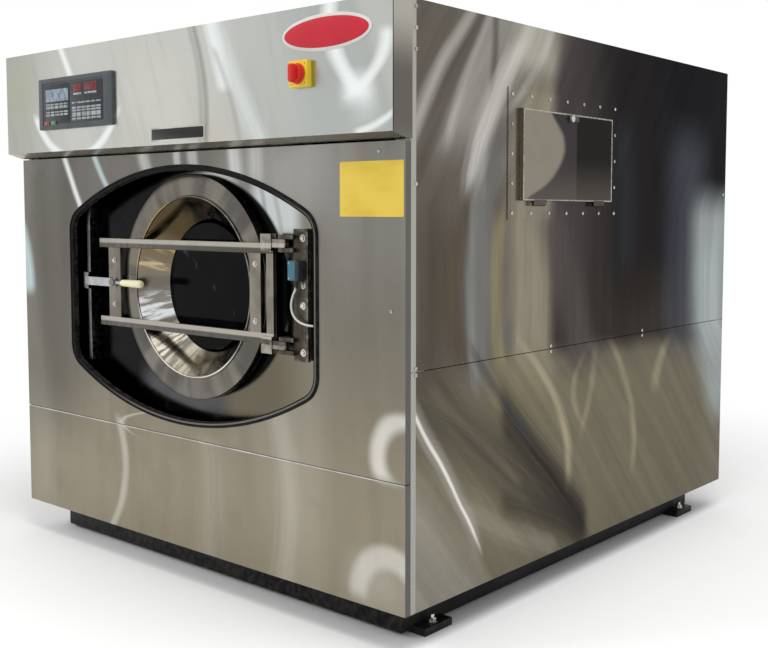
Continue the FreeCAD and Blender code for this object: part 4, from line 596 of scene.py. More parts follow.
def side_steel():
    """Polished stainless of the sides, top and back, with the room's tall bent shapes as painted
    reflections, a painted dark reflection and a painted highlight on the front hem.
    """
    made, nodes, shader = new_material("Polished stainless side")
    position, flat_x, flat_y, _ = nodes.place()
    y, z, sunk, tone = room_on_side(nodes, position)
    # Painted dark reflection over the upper rear of the side.
    ridge = nodes.times(nodes.maths("MAXIMUM", nodes.less(z, 1.45), 0.0), 0.5)
    edge = nodes.less(y, ridge)
    dark_left = nodes.fade(edge, -0.29, -0.22)
    dark_low = nodes.fade(nodes.plus(z, nodes.times(y, 0.06)), 0.64, 0.72)
    dark_reflection = nodes.blend(nodes.fade(y, -0.20, 0.14), paint(72, 67, 66), paint(36, 33, 34))
    dark_reflection = nodes.blend(nodes.fade(y, 0.20, 0.55), dark_reflection, paint(24, 24, 28))
    dark_reflection = nodes.blend(nodes.fade(z, 0.98, 0.72), dark_reflection, paint(56, 51, 47))
    tone = nodes.blend(nodes.times(dark_left, dark_low), tone, dark_reflection)
    # Painted reflections: patches of light and shade, and a bright patch towards the rear.
    drop = nodes.times(nodes.maths("MAXIMUM", nodes.less(0.70, z), 0.0), 0.45)
    corner = nodes.less(y, drop)
    for across, sides, heights, soft, share, colour in (
            (sloped(nodes, y, z, -0.40, 0.90), (-0.26, -0.10), (0.62, 1.08), 0.12, 0.80, paint(84, 78, 76)),
            (y, (-0.05, 0.05), (0.80, 1.10), 0.12, 0.40, paint(60, 55, 50)),
            (y, (0.10, 0.20), (0.90, 1.36), 0.14, 0.50, paint(52, 58, 62)),
            (y, (0.14, 0.36), (0.76, 0.92), 0.16, 0.50, paint(44, 35, 30)),
            (y, (0.46, 0.70), (0.60, 1.34), 0.22, 0.60, paint(82, 85, 94)),
            (corner, (0.645, 1.10), (0.36, 1.12), 0.17, 0.95, paint(162, 170, 169)),
            (corner, (0.70, 0.84), (0.62, 0.96), 0.16, 0.45, paint(186, 196, 196))):
        tone = patch(nodes, tone, across, z, sides, heights, soft, share, colour)
    # Painted reflections: long leaning streaks of light and shade, one with a thin bright glint.
    for route, half, soft, share, colour in (
            (((0.63, -0.88), (0.42, -0.50), (0.15, -0.10)), 0.060, 0.110, 0.80, paint(74, 69, 60)),
            (((0.53, -0.46), (0.38, -0.30), (0.16, -0.08)), 0.045, 0.080, 0.90, paint(46, 42, 42)),
            (((0.30, -0.46), (0.24, -0.30), (0.14, -0.12)), 0.020, 0.060, 0.55, paint(52, 47, 44)),
            (((0.70, -0.60), (0.60, -0.50), (0.50, -0.40)), 0.006, 0.034, 0.60, paint(66, 68, 74)),
            (((0.62, -0.76), (0.48, -0.58), (0.37, -0.44)), 0.004, 0.030, 0.45, paint(118, 112, 96)),
            (((0.52, -0.70), (0.42, -0.58), (0.30, -0.40)), 0.003, 0.024, 0.35, paint(112, 106, 92)),
            (((0.29, -0.62), (0.20, -0.44), (0.12, -0.26)), 0.006, 0.050, 0.60, paint(150, 144, 130)),
            (((0.61, -0.86), (0.43, -0.735), (0.255, -0.62)), 0.012, 0.060, 0.45, paint(186, 183, 174)),
            (((0.61, -0.86), (0.43, -0.735), (0.255, -0.62)), 0.002, 0.016, 0.95, paint(236, 234, 228))):
        tone = streak(nodes, tone, z, y, route, half, soft, share, colour, fade=0.06)
    tone = flowing(nodes, tone, sunk, z, 15.0, 0.86, 1.13)
    # Painted reflections on the top and back: wavy light and dark bands.
    bands = use_group(nodes, bands_group, Along=flat_x, Height=flat_y, Lean=0.3, Width=2.4, Sway=0.4)
    plain = nodes.blend(nodes.fade(bands["Bands"], 0.38, 0.66), paint(112, 108, 100), paint(176, 174, 167))
    tone = nodes.blend(facing_share(nodes, "X"), plain, tone)
    # Painted highlight along the front hem of the side.
    tone = nodes.blend(nodes.fade(flat_y, -0.8455, -0.8475), tone, paint(166, 165, 158))
    tone, lines = brushed(nodes, tone, position, (0.6, 0.6, 90), 0.975, 1.025)
    marks = hand_marks(nodes, position, 2.0)
    settle(nodes, shader, Base_Color=tone, Metallic=1.0,
           Roughness=nodes.fade(marks, 0.0, 1.0, 0.24, 0.34),
           Specular_Tint=(0.55, 0.55, 0.55, 1.0), Normal=nodes.bump(lines, 0.00004))
    return made


def lid_steel():
    """The hatch lid, with painted reflections: light on its front half, dark behind a wavy edge, lighter
    towards its lower edge.
    """
    made, nodes, shader = new_material("Hatch lid stainless")
    position, _, flat_y, flat_z = nodes.place()
    _, y, z = drifted(nodes, position, 9.0, 0.02)
    bulge = nodes.times(nodes.less(z, 1.265), 10.0)
    wave = nodes.plus(y, nodes.times(nodes.times(bulge, bulge), 0.085))
    tone = nodes.blend(nodes.fade(wave, -0.235, -0.205), paint(140, 133, 121), paint(64, 60, 61))
    tone = nodes.blend(nodes.fade(flat_y, -0.160, -0.150), tone, paint(40, 38, 37))
    tone = nodes.blend(nodes.times(nodes.fade(flat_z, 1.25, 1.10), 0.25), tone,
                       paint(142, 134, 120))
    tone, lines = brushed(nodes, tone, position, (3, 3, 90), 0.95, 1.05)
    marks = hand_marks(nodes, position, 3.0)
    settle(nodes, shader, Base_Color=tone, Metallic=1.0,
           Roughness=nodes.fade(marks, 0.0, 1.0, 0.26, 0.38),
           Specular_Tint=(0.55, 0.55, 0.55, 1.0), Normal=nodes.bump(lines, 0.00006))
    return made


def tub_steel():
    """Mirror-polished stainless of the tub plate behind the door, with painted reflections, painted shade at
    the left and the door ring's painted shadow.
    """
    made, nodes, shader = new_material("Polished tub plate")
    position, x, _, z = nodes.place()
    # Painted reflections: broad tone, light bands, a patch and streaks at the upper right.
    tone = nodes.blend(nodes.fade(z, 0.62, 1.02), paint(106, 99, 84), paint(128, 128, 124))
    tone = nodes.blend(nodes.fade(x, 0.30, 0.52), tone, paint(132, 127, 112))
    bands = use_group(nodes, bands_group, Along=x, Height=z, Lean=0.5, Width=5.0, Sway=0.3)
    light = nodes.times(nodes.fade(bands["Bands"], 0.46, 0.70), nodes.fade(z, 0.86, 1.0))
    tone = nodes.blend(nodes.times(light, 0.5), tone, paint(214, 214, 208))
    tone = patch(nodes, tone, x, z, (0.24, 0.42), (1.02, 1.20), 0.06, 0.85, paint(204, 210, 210))
    for route, half, soft, share, colour in (
            (((0.30, 1.02), (0.29, 1.08), (0.27, 1.16)), 0.003, 0.012, 0.6, paint(120, 122, 122)),
            (((0.36, 1.00), (0.35, 1.05), (0.33, 1.12)), 0.003, 0.012, 0.5, paint(132, 134, 132))):
        tone = streak(nodes, tone, x, z, route, half, soft, share, colour)
    # Painted shade: black at the left of the recess, and greyer and darker patches low on the plate.
    tone = nodes.blend(nodes.fade(x, 0.06, -0.20), tone, paint(3, 3, 4))
    tone = patch(nodes, tone, x, z, (-0.27, 0.12), (0.36, 0.60), 0.10, 1.0, paint(82, 81, 83))
    tone = patch(nodes, tone, x, z, (0.02, 0.34), (0.36, 0.505), 0.05, 0.70, paint(50, 48, 42))
    # Painted shadow of the door ring: a black crescent beside it.
    across = nodes.less(x, AXIS_X + 0.045)
    up = nodes.times(nodes.less(z, AXIS_Z + 0.004), 1.11)
    far = nodes.far(across, up)
    close = nodes.times(nodes.fade(far, 0.356, 0.342),
                        nodes.maths("MAXIMUM", nodes.fade(x, 0.02, 0.10), nodes.fade(z, 0.66, 0.80)))
    tone = nodes.blend(close, tone, paint(5, 5, 6))
    marks = hand_marks(nodes, position, 5.0)
    lines = use_group(nodes, hairline_group, Position=nodes.stretched(position, 4, 4, 60),
                      Fineness=20.0, Long_waves=2.0)
    settle(nodes, shader, Base_Color=tone, Metallic=1.0,
           Roughness=nodes.fade(marks, 0.0, 1.0, 0.16, 0.28),
           Normal=nodes.bump(lines["Scratches"], 0.00006))
    return made


def turned_steel(name, low, high, gold):
    """Turned and polished stainless of the round door parts, with fine rings about the axis and a painted
    golden reflection.
    """
    made, nodes, shader = new_material(name)
    position, x, y, z = nodes.place()
    across = nodes.less(x, AXIS_X)
    up = nodes.less(z, AXIS_Z)
    far = nodes.far(across, up)
    turn = nodes.maths("ARCTAN2", up, across)
    around = nodes.add("CombineXYZ", X=nodes.times(turn, 0.5), Y=far,
                       Z=nodes.times(y, 2.0)).outputs[0]
    rings = use_group(nodes, hairline_group, Position=nodes.stretched(around, 2, 500, 200),
                      Fineness=2.0, Long_waves=0.6)
    facets = nodes.noise(nodes.stretched(around, 5, 2, 1), 1.6, 2.0, 0.5)
    tone = nodes.blend(nodes.fade(facets, 0.36, 0.66), paint(*low), paint(*high))
    # Painted golden reflection at the upper left.
    gold_reflection_mask = nodes.times(nodes.fade(up, -0.05, 0.22), nodes.fade(across, 0.15, -0.15))
    tone = nodes.blend(nodes.times(gold_reflection_mask, gold), tone, paint(120, 98, 62))
    shade = nodes.fade(rings["Scratches"], 0.3, 0.7, 0.93, 1.06)
    tone = nodes.blend(1.0, tone, nodes.grey(shade), "MULTIPLY")
    settle(nodes, shader, Base_Color=tone, Metallic=1.0,
           Roughness=nodes.fade(rings["Waves"], 0.3, 0.7, 0.24, 0.36),
           Normal=nodes.bump(rings["Scratches"], 0.00010))
    return made


def bare_metal(name, dull, bright, rough, metal=1.0, wear=0.5, painted_light=None):
    """Plain worked metal: mottled, brighter on worn edges, duller where hands and dust have been; a given
    function paints light and shade over the tone.
    """
    made, nodes, shader = new_material(name)
    position, x, _, z = nodes.place()
    cloud = nodes.noise(position, 9.0, 4.0, 0.55)
    tone = nodes.blend(nodes.fade(cloud, 0.35, 0.68), paint(*dull), paint(*bright))
    # Painted light and shade, where a function for it is given.
    if painted_light:
        tone = painted_light(nodes, tone, x, z)
    worn = use_group(nodes, wear_group, Position=position, Amount=wear)["Worn"]
    tone = nodes.blend(worn, tone, paint(224, 222, 216))
    dust = use_group(nodes, dust_group, Position=position, Size=4.0)
    tone = nodes.blend(nodes.times(dust["Dust"], 0.18), tone, paint(120, 114, 104))
    lines = use_group(nodes, hairline_group, Position=nodes.stretched(position, 8, 8, 60),
                      Fineness=12.0, Long_waves=3.0)
    settle(nodes, shader, Base_Color=tone, Metallic=metal,
           Roughness=nodes.fade(dust["Marks"], 0.0, 1.0, rough, rough + 0.14),
           Normal=nodes.bump(lines["Scratches"], 0.00010))
    return made


def strap_sheen(nodes, tone, x, z):
    """Painted highlight along each strap's top half and painted shade along its lower half."""
    above = nodes.less(z, AXIS_Z)
    off = nodes.less(nodes.maths("ABSOLUTE", above), 0.122)
    off = nodes.times(off, nodes.maths("SIGN", above))
    halves = nodes.blend(nodes.fade(off, -0.002, 0.003), paint(84, 80, 73), paint(176, 170, 159))
    return nodes.blend(nodes.band(off, 0.0, 0.0142, 0.0006), tone, halves)


def post_sheen(nodes, tone, x, z):
    """The post is pale on its front, with painted shade making its sides black."""
    return nodes.blend(facing_share(nodes, "X"), tone, paint(14, 14, 15))


def around_door(nodes, x, z):
    """The turn about the door's middle: nothing at the left, rising upwards, in radians."""
    across = nodes.less(AXIS_X, x)
    up = nodes.less(z, AXIS_Z)
    return nodes.maths("ARCTAN2", up, across)


def lip_sheen(nodes, tone, x, z):
    """Painted reflections on the rolled lip: a bright highlight below, golden at the upper left and dull
    elsewhere.
    """
    turn = around_door(nodes, x, z)
    dull = nodes.blend(nodes.band(turn, 0.70, 0.35, 0.30), paint(112, 106, 96), paint(164, 144, 100))
    return nodes.blend(nodes.band(turn, -1.35, 0.75, 0.45), dull, tone)


def bowl_finish():
    """The mirror bowl of the door, with painted reflections: the broken bright and dark shapes of the room
    in it.
    """
    made, nodes, shader = new_material("Mirror bowl steel")
    position, x, y, z = nodes.place()
    turn = around_door(nodes, x, z)
    depth = nodes.times(y, 9.0)
    spot = nodes.add("CombineXYZ", X=nodes.times(turn, 9.0), Y=depth, Z=0.0).outputs[0]
    dashes = nodes.fade(nodes.noise(spot, 1.6, 3.0, 0.6), 0.40, 0.58)
    sway = nodes.times(nodes.less(nodes.noise(position, 9.0), 0.5), 0.35)
    moved = nodes.plus(turn, sway)
    tone = nodes.blend(nodes.fade(moved, -0.20, 0.60), paint(132, 127, 117), paint(108, 95, 72))
    # Painted reflections: bands of light and shade round the bowl, some broken into dashes.
    for middle, half, soft, share, colour, broken in (
            (1.15, 0.30, 0.35, 0.90, paint(78, 67, 46), False),
            (1.80, 0.28, 0.25, 0.95, paint(30, 25, 18), False),
            (-2.25, 0.35, 0.30, 0.85, paint(94, 84, 79), False),
            (-1.50, 0.18, 0.30, 0.70, paint(164, 154, 134), False),
            (2.60, 0.30, 0.40, 0.80, paint(70, 64, 56), False),
            (-0.02, 0.06, 0.10, 0.60, paint(98, 92, 86), False),
            (0.24, 0.03, 0.06, 0.80, paint(198, 182, 146), True),
            (0.56, 0.03, 0.08, 0.60, paint(172, 152, 108), True),
            (-0.34, 0.14, 0.14, 1.00, paint(214, 219, 221), True),
            (-0.86, 0.16, 0.14, 1.00, paint(238, 230, 210), True),
            (-1.30, 0.08, 0.12, 0.80, paint(214, 206, 186), True),
            (-0.60, 0.04, 0.07, 0.70, paint(84, 79, 72), False)):
        mask = nodes.times(nodes.band(moved, middle, half, soft), share)
        if broken:
            mask = nodes.times(mask, dashes)
        tone = nodes.blend(mask, tone, colour)
    rings = nodes.noise(nodes.stretched(position, 1, 420, 1), 1.0, 2.0, 0.6)
    smears = hand_marks(nodes, position, 8.0)
    settle(nodes, shader, Base_Color=tone, Metallic=1.0,
           Roughness=nodes.fade(smears, 0.0, 1.0, 0.14, 0.26), Normal=nodes.bump(rings, 0.00006))
    return made


def coated(name, colour, second, rough, pebble=700.0, wear=0.35, depth=0.00012, shine=0.32):
    """Painted or powder-coated steel, moulded plastic and rubber."""
    made, nodes, shader = new_material(name)
    position = nodes.place()[0]
    cloud = nodes.noise(position, 6.0, 4.0, 0.6)
    tone = nodes.blend(nodes.fade(cloud, 0.35, 0.70), paint(*colour), paint(*second))
    worn = use_group(nodes, wear_group, Position=position, Amount=wear)["Worn"]
    tone = nodes.blend(worn, tone, paint(150, 146, 140))
    dust = use_group(nodes, dust_group, Position=position, Size=5.0)
    tone = nodes.blend(nodes.times(dust["Dust"], 0.05), tone, paint(140, 134, 124))
    grain = use_group(nodes, grain_group, Position=position, Size=pebble)["Grain"]
    settle(nodes, shader, Base_Color=tone, Metallic=0.0,
           Roughness=nodes.fade(dust["Marks"], 0.0, 1.0, rough, rough + 0.12),
           Specular_IOR_Level=shine, Normal=nodes.bump(grain, depth))
    return made


def dark_glass():
    """The door's thick glass, near-black as painted shade of the unlit drum behind it, with a painted glint.
    """
    made, nodes, shader = new_material("Dark door glass")
    position, x, _, z = nodes.place()
    streak = nodes.noise(nodes.stretched(position, 3, 3, 1), 6.0, 3.0, 0.6, 1.2)
    leaning = nodes.plus(nodes.times(x, 0.8), z)
    glint = nodes.times(nodes.band(leaning, AXIS_Z + 0.01, 0.004, 0.010),
                        nodes.fade(streak, 0.52, 0.66))
    tone = nodes.blend(nodes.times(glint, 0.5), paint(6, 6, 7), paint(90, 92, 92))
    cloud = nodes.fade(nodes.noise(position, 7.0, 3.0, 0.5), 0.45, 0.70)
    tone = nodes.blend(nodes.times(cloud, 0.35), tone, paint(22, 23, 24))
    smear = hand_marks(nodes, position, 6.0)
    settle(nodes, shader, Base_Color=tone, Metallic=0.0, Specular_IOR_Level=0.05,
           Roughness=nodes.fade(smear, 0.0, 1.0, 0.05, 0.16))
    return made


def lit_film(name, colour, glow, strength):
    """A lit strip or window of the control panel."""
    made, nodes, shader = new_material(name)
    position = nodes.place()[0]
    cells = nodes.noise(nodes.stretched(position, 90, 1, 30), 1.0, 2.0, 0.6)
    tone = nodes.blend(nodes.fade(cells, 0.35, 0.70), paint(*colour), paint(*glow))
    settle(nodes, shader, Base_Color=tone, Roughness=nodes.fade(cells, 0.3, 0.7, 0.25, 0.40),
           Specular_IOR_Level=0.3, Emission_Color=tone, Emission_Strength=strength)
    return made


def filler_strip():
    """The filler in the opening's trim, painted: grey where it catches the light, black in shade at the
    upper left.
    """
    made, nodes, shader = new_material("Trim filler")
    position, x, _, z = nodes.place()
    lit = nodes.less(nodes.times(x, 0.7), nodes.less(z, AXIS_Z))
    tone = nodes.blend(nodes.fade(lit, -0.05, 0.30), paint(12, 12, 13), paint(112, 109, 101))
    grain = use_group(nodes, grain_group, Position=position, Size=500.0)["Grain"]
    settle(nodes, shader, Base_Color=tone, Roughness=nodes.fade(grain, 0.2, 0.8, 0.40, 0.52),
           Specular_IOR_Level=0.12, Normal=nodes.bump(grain, 0.00006))
    return made


def sticker():
    """The plain yellow label, with its slight waves and a soft smudge."""
    made, nodes, shader = new_material("Yellow label film")
    position = nodes.place()[0]
    waves = nodes.noise(nodes.stretched(position, 6, 6, 14), 1.0, 2.0, 0.5)
    tone = nodes.blend(nodes.fade(waves, 0.35, 0.65), paint(222, 190, 62), paint(236, 206, 84))
    smudge = use_group(nodes, dust_group, Position=position, Size=9.0)
    tone = nodes.blend(nodes.times(smudge["Dust"], 0.2), tone, paint(170, 150, 90))
    settle(nodes, shader, Base_Color=tone, Roughness=nodes.fade(smudge["Marks"], 0, 1, 0.35, 0.5),
           Specular_IOR_Level=0.35, Normal=nodes.bump(waves, 0.0006))
    return made


FINISHES = {
    "steel_painted_black": coated("Black base paint", (9, 9, 10), (15, 15, 15), 0.46, 700.0, 0.10,
                                  shine=0.14),
    "rubber_black": coated("Black rubber", (8, 8, 9), (14, 14, 15), 0.52, 500.0, 0.1, shine=0.10),
    "stainless_front": front_steel(),
    "stainless_side": side_steel(),
    "stainless_polished": tub_steel(),
    "stainless_door": turned_steel("Turned door steel", (92, 89, 84), (126, 122, 113), 0.1),
    "galvanised": bare_metal("Galvanised steel", (128, 131, 133), (160, 162, 163), 0.42),
    "panel_dark": coated("Control panel frame", (62, 68, 72), (72, 78, 82), 0.35, 900.0, 0.1),
    "key_red": coated("Stop key", (150, 62, 56), (170, 80, 72), 0.35, 900.0, 0.1),
    "key_green": coated("Start key", (58, 128, 96), (74, 146, 112), 0.35, 900.0, 0.1),
    "plate_yellow": coated("Isolator plate", (240, 206, 40), (246, 216, 62), 0.32, 900.0, 0.1),
    "knob_red": coated("Isolator knob", (208, 34, 24), (224, 52, 34), 0.28, 900.0, 0.1),
    "switch_dark": coated("Switch housing", (38, 40, 42), (52, 54, 56), 0.45, 800.0, 0.1),
    "screw_steel": bare_metal("Screw steel", (168, 166, 160), (206, 205, 200), 0.26),
    "box_painted": coated("Box enamel", (184, 186, 184), (196, 198, 196), 0.40),
    "glass_dark": dark_glass(),
    "hinge_brown": bare_metal("Weathered hinge steel", (60, 55, 48), (86, 79, 69), 0.44, 1.0, 0.25),
    "sensor_blue": coated("Teal switch body", (52, 104, 122), (72, 128, 146), 0.38, 800.0, 0.1),
    "cable_white": coated("White cable sheath", (210, 212, 208), (226, 227, 222), 0.42, 900.0, 0.0),
    "grip_cream": coated("Cream grip", (232, 224, 184), (246, 240, 206), 0.30, 900.0, 0.0),
    "spring_steel": coated("Spring enamel", (52, 84, 132), (62, 96, 146), 0.34),
    "damper_grey": coated("Damper enamel", (92, 95, 98), (108, 111, 113), 0.36),
    "rod_bright": bare_metal("Ground rod", (186, 187, 188), (214, 215, 216), 0.16),
    "cast_housing": coated("Cast housing paint", (92, 96, 99), (112, 116, 118), 0.5,
                           260.0, 0.5, 0.0006),
    "bearing_steel": bare_metal("Bearing steel", (176, 177, 178), (206, 207, 208), 0.2),
    "motor_blue": coated("Motor enamel", (44, 78, 118), (54, 90, 132), 0.38),
    "belt_rubber": coated("Belt rubber", (30, 30, 31), (44, 43, 42), 0.6, 420.0, 0.2),
    "brass_pipe": bare_metal("Brass pipe", (176, 142, 70), (206, 172, 96), 0.28),
    "valve_plastic": coated("Pipe plastic", (120, 124, 126), (134, 138, 140), 0.45),
}
bowl_steel = bowl_finish()
fascia_finish = fascia_steel()
# The lip's bright colours are painted highlight; lip_sheen keeps them only below.
lip_steel = bare_metal("Lip steel with painted highlight", (226, 220, 204), (248, 246, 238), 0.14, 1.0, 0.2,
                       lip_sheen)
rim_steel = bare_metal("Rolled lid rim", (126, 122, 114), (160, 157, 150), 0.24, 1.0, 0.3)
latch_steel = bare_metal("Latch arm steel", (158, 163, 165), (190, 194, 196), 0.30, 1.0, 0.3)
# post_sheen paints shade on the post's sides.
post_steel = bare_metal("Latch post steel", (96, 95, 92), (122, 121, 117), 0.32, 1.0, 0.3,
                        post_sheen)
badge_enamel = coated("Red plate enamel", (196, 28, 48), (206, 36, 56), 0.16, 900.0, 0.05)
strip_enamel = coated("Black strip enamel", (16, 16, 16), (26, 26, 27), 0.24, 900.0, 0.05)
label_film = sticker()
panel_film = coated("Panel film", (30, 34, 37), (40, 44, 48), 0.22, 900.0, 0.0)
window_grey = lit_film("Grey window", (96, 110, 122), (150, 164, 176), 0.12)
window_red = lit_film("Red window", (70, 26, 26), (132, 44, 42), 0.15)
# The keys use this film too: their faint glow is painted light, as they are no lamps.
strip_pale = lit_film("Pale key film", (118, 124, 128), (168, 174, 178), 0.08)
lid_finish = lid_steel()
# strap_sheen paints a highlight on each strap's top half and shade on its lower half.
strap_steel = bare_metal("Bright strap steel", (116, 111, 101), (146, 140, 129), 0.28, 1.0, 0.3,
                         strap_sheen)
filler_grey = filler_strip()

slot_of = {}
for title, thing in cad_nodes.items():
    slot_of[title] = thing.material_slots[0].material.name.split(".")[0]
    for holder in thing.material_slots:
        holder.material = FINISHES[slot_of[title]]
cad_nodes["fascia"].material_slots[0].material = fascia_finish
cad_nodes["hatch_lid"].material_slots[0].material = lid_finish
cad_nodes["door_bowl"].material_slots[0].material = bowl_steel
cad_nodes["door_frame"].material_slots[0].material = strap_steel


# ---------------------------------------------------------------- camera, light and floor

def make_camera():
    """The camera as it was fitted to the photograph's edges."""
    lens = bpy.data.cameras.new("camera")
    lens.sensor_width = 36.0
    lens.lens = 49.887
    lens.shift_x = -0.0709
    lens.shift_y = -0.0443
    lens.clip_end = 60.0
    holder = bpy.data.objects.new("camera", lens)
    bpy.context.scene.collection.objects.link(holder)
    turn = (Matrix.Rotation(math.radians(39.26), 4, "Z")
            @ Matrix.Rotation(math.radians(90 - 4.143), 4, "X")
            @ Matrix.Rotation(math.radians(0.189), 4, "Z"))
    holder.matrix_world = Matrix.Translation((2.504, -2.785, 1.081)) @ turn
    bpy.context.scene.camera = holder


def make_floor():
    """A pale floor that keeps the shadow."""
    bm = bmesh.new()
    bmesh.ops.create_grid(bm, x_segments=1, y_segments=1, size=30.0)
    mesh = bpy.data.meshes.new("floor")
    bm.to_mesh(mesh)
    bm.free()
    floor = bpy.data.objects.new("floor", mesh)
    floor.location.z = -0.0005
    bpy.context.scene.collection.objects.link(floor)
    made, nodes, shader = new_material("Pale floor")
    position = nodes.place()[0]
    tone = nodes.blend(nodes.noise(position, 2.0, 3.0, 0.5), (0.96, 0.96, 0.96, 1), (0.98, 0.98, 0.98, 1))
    away = nodes.add("VectorMath", {"operation": "LENGTH"}, Vector=position).outputs["Value"]
    settle(nodes, shader, Base_Color=tone, Roughness=0.9, Specular_IOR_Level=0.0,
           Alpha=nodes.fade(away, 1.7, 3.0, 1.0, 0.0))
    mesh.materials.append(made)


def make_lamp(name, spot, target, size, power):
    """A soft square lamp that looks at a point."""
    lamp = bpy.data.lights.new(name, "AREA")
    lamp.shape = "RECTANGLE"
    lamp.size, lamp.size_y = size
    lamp.energy = power
    holder = bpy.data.objects.new(name, lamp)
    holder.location = spot
    holder.visible_glossy = False
    holder.rotation_euler = (Vector(target) - Vector(spot)).to_track_quat("-Z", "Y").to_euler()
    bpy.context.scene.collection.objects.link(holder)


def make_world():
    """Even soft light, white where the camera, metal and glass see it."""
    world = bpy.data.worlds.new("studio")
    bpy.context.scene.world = world
    world.use_nodes = True
    world.node_tree.nodes.clear()
    nodes = Nodes(world.node_tree)
    path = nodes.add("LightPath").outputs
    seen = nodes.maths("MAXIMUM", path["Is Camera Ray"], path["Is Glossy Ray"])
    seen = nodes.maths("MAXIMUM", seen, path["Is Transmission Ray"])
    soft = nodes.add("Background", Color=(1, 1, 1, 1), Strength=0.62)
    white = nodes.add("Background", Color=(1, 1, 1, 1), Strength=1.0)
    both = nodes.add("MixShader", Fac=seen)
    nodes.feed(both.inputs[1], soft.outputs[0])
    nodes.feed(both.inputs[2], white.outputs[0])
    end = nodes.add("OutputWorld")
    nodes.feed(end.inputs["Surface"], both.outputs[0])


make_camera()
make_floor()
make_world()
make_lamp("soft lamp left", (-3.2, -4.6, 3.6), (0, -0.4, 0.8), (2.6, 2.0), 130)
make_lamp("soft lamp above", (1.6, -0.6, 5.0), (0.2, 0, 0.6), (3.2, 3.2), 150)
scene = bpy.context.scene
scene.view_settings.view_transform = "Standard"


# ---------------------------------------------------------------- mesh helpers

def piece_from(bm, name, body, slot_name, finish=None, angle=32.0):
    """A finished piece from a mesh being built; its slot's own finish, where no other is given."""
    bmesh.ops.recalc_face_normals(bm, faces=bm.faces)
    mesh = bpy.data.meshes.new(name)
    bm.to_mesh(mesh)
    bm.free()
    mesh.materials.append(finish or FINISHES[slot_name])
    mesh.shade_smooth()
    mesh.set_sharp_from_angle(angle=math.radians(angle))
    piece = bpy.data.objects.new(name, mesh)
    bpy.context.scene.collection.objects.link(piece)
    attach(piece, body)
    return piece


def smooth_sheet(bm, rows, closed=True):
    """Faces between neighbouring rows of points; each row closes on itself where asked."""
    made = [[bm.verts.new(point) for point in row] for row in rows]
    for low, high in zip(made, made[1:]):
        count = len(low)
        for index in range(count if closed else count - 1):
            after = (index + 1) % count
            bm.faces.new((low[index], low[after], high[after], high[index]))
    return made


def lathe(name, centre, axis, profile, body, slot_name, finish=None, steps=96, closed=False):
    """A turned piece: (radius, distance along the axis) points swept about the axis."""
    bm = bmesh.new()
    rows = []
    for radius, along in profile:
        row = []
        for step in range(steps):
            turn = 2 * math.pi * step / steps
            first, second = radius * math.cos(turn), radius * math.sin(turn)
            if axis == "Y":
                point = (first, along, second)
            elif axis == "X":
                point = (along, first, second)
            else:
                point = (first, second, along)
            row.append(Vector(centre) + Vector(point))
        rows.append(row)
    made = smooth_sheet(bm, rows + [rows[0]] if closed else rows)
    if closed:
        bmesh.ops.remove_doubles(bm, verts=bm.verts, dist=1e-7)
    else:
        for row in (made[0], made[-1]):
            bm.faces.new(row)
    return piece_from(bm, name, body, slot_name, finish)


def softened(node, width, finish=None, segments=2):
    """The node's own form with its sharp edges rounded, in place of the node."""
    source = cad_nodes[node]
    bm = bmesh.new()
    bm.from_mesh(source.data)
    bmesh.ops.remove_doubles(bm, verts=bm.verts, dist=1e-6)
    bmesh.ops.dissolve_limit(bm, angle_limit=math.radians(1.0), verts=bm.verts, edges=bm.edges)
    sharp = [edge for edge in bm.edges if len(edge.link_faces) == 2
             and edge.calc_face_angle(0.0) > math.radians(32)]
    bmesh.ops.bevel(bm, geom=sharp, offset=width, offset_type="OFFSET", segments=segments,
                    profile=0.5, affect="EDGES", clamp_overlap=True)
    piece = piece_from(bm, node + "_rounded", source["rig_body"], slot_of[node], finish)
    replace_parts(piece, node)


# ---------------------------------------------------------------- the lead of the door switch

def make_lead():
    """The white lead from the door switch round to its gland, hanging in a loop."""
    route = [(0.457, -0.868, 0.903), (0.457, -0.868, 0.884), (0.442, -0.868, 0.862),
             (0.435, -0.868, 0.836), (0.442, -0.868, 0.811), (0.462, -0.8675, 0.795),
             (0.489, -0.867, 0.788), (0.512, -0.863, 0.7865), (0.521, -0.853, 0.786),
             (0.521, -0.841, 0.786)]
    curve = bpy.data.curves.new("switch_lead", "CURVE")
    curve.dimensions = "3D"
    curve.bevel_depth = 0.003
    curve.bevel_resolution = 6
    curve.resolution_u = 16
    curve.use_fill_caps = True
    spline = curve.splines.new("NURBS")
    spline.points.add(len(route) - 1)
    for point, spot in zip(spline.points, route):
        point.co = (*spot, 1.0)
    spline.use_endpoint_u = True
    spline.order_u = 3
    curve.materials.append(FINISHES["cable_white"])
    lead = bpy.data.objects.new("switch_lead", curve)
    bpy.context.scene.collection.objects.link(lead)
    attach(lead, "tub")
    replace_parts(lead, "switch_cable")


# ---------------------------------------------------------------- outlines and small forms

def on(side, at, across, up, out):
    """A point at (across, up) on one side of the machine, standing out from the plane at."""
    spots = {"front": (across, at - out, up), "back": (across, at + out, up),
             "right": (at + out, across, up), "left": (at - out, across, up),
             "top": (across, up, at + out)}
    return Vector(spots[side])


def ring_of(middle, wide, high, steps, turn=0.0):
    """Points of an oval; a circle where both half sizes agree."""
    points = []
    for step in range(steps):
        angle = 2 * math.pi * step / steps + turn
        points.append((middle[0] + wide * math.cos(angle), middle[1] + high * math.sin(angle)))
    return points


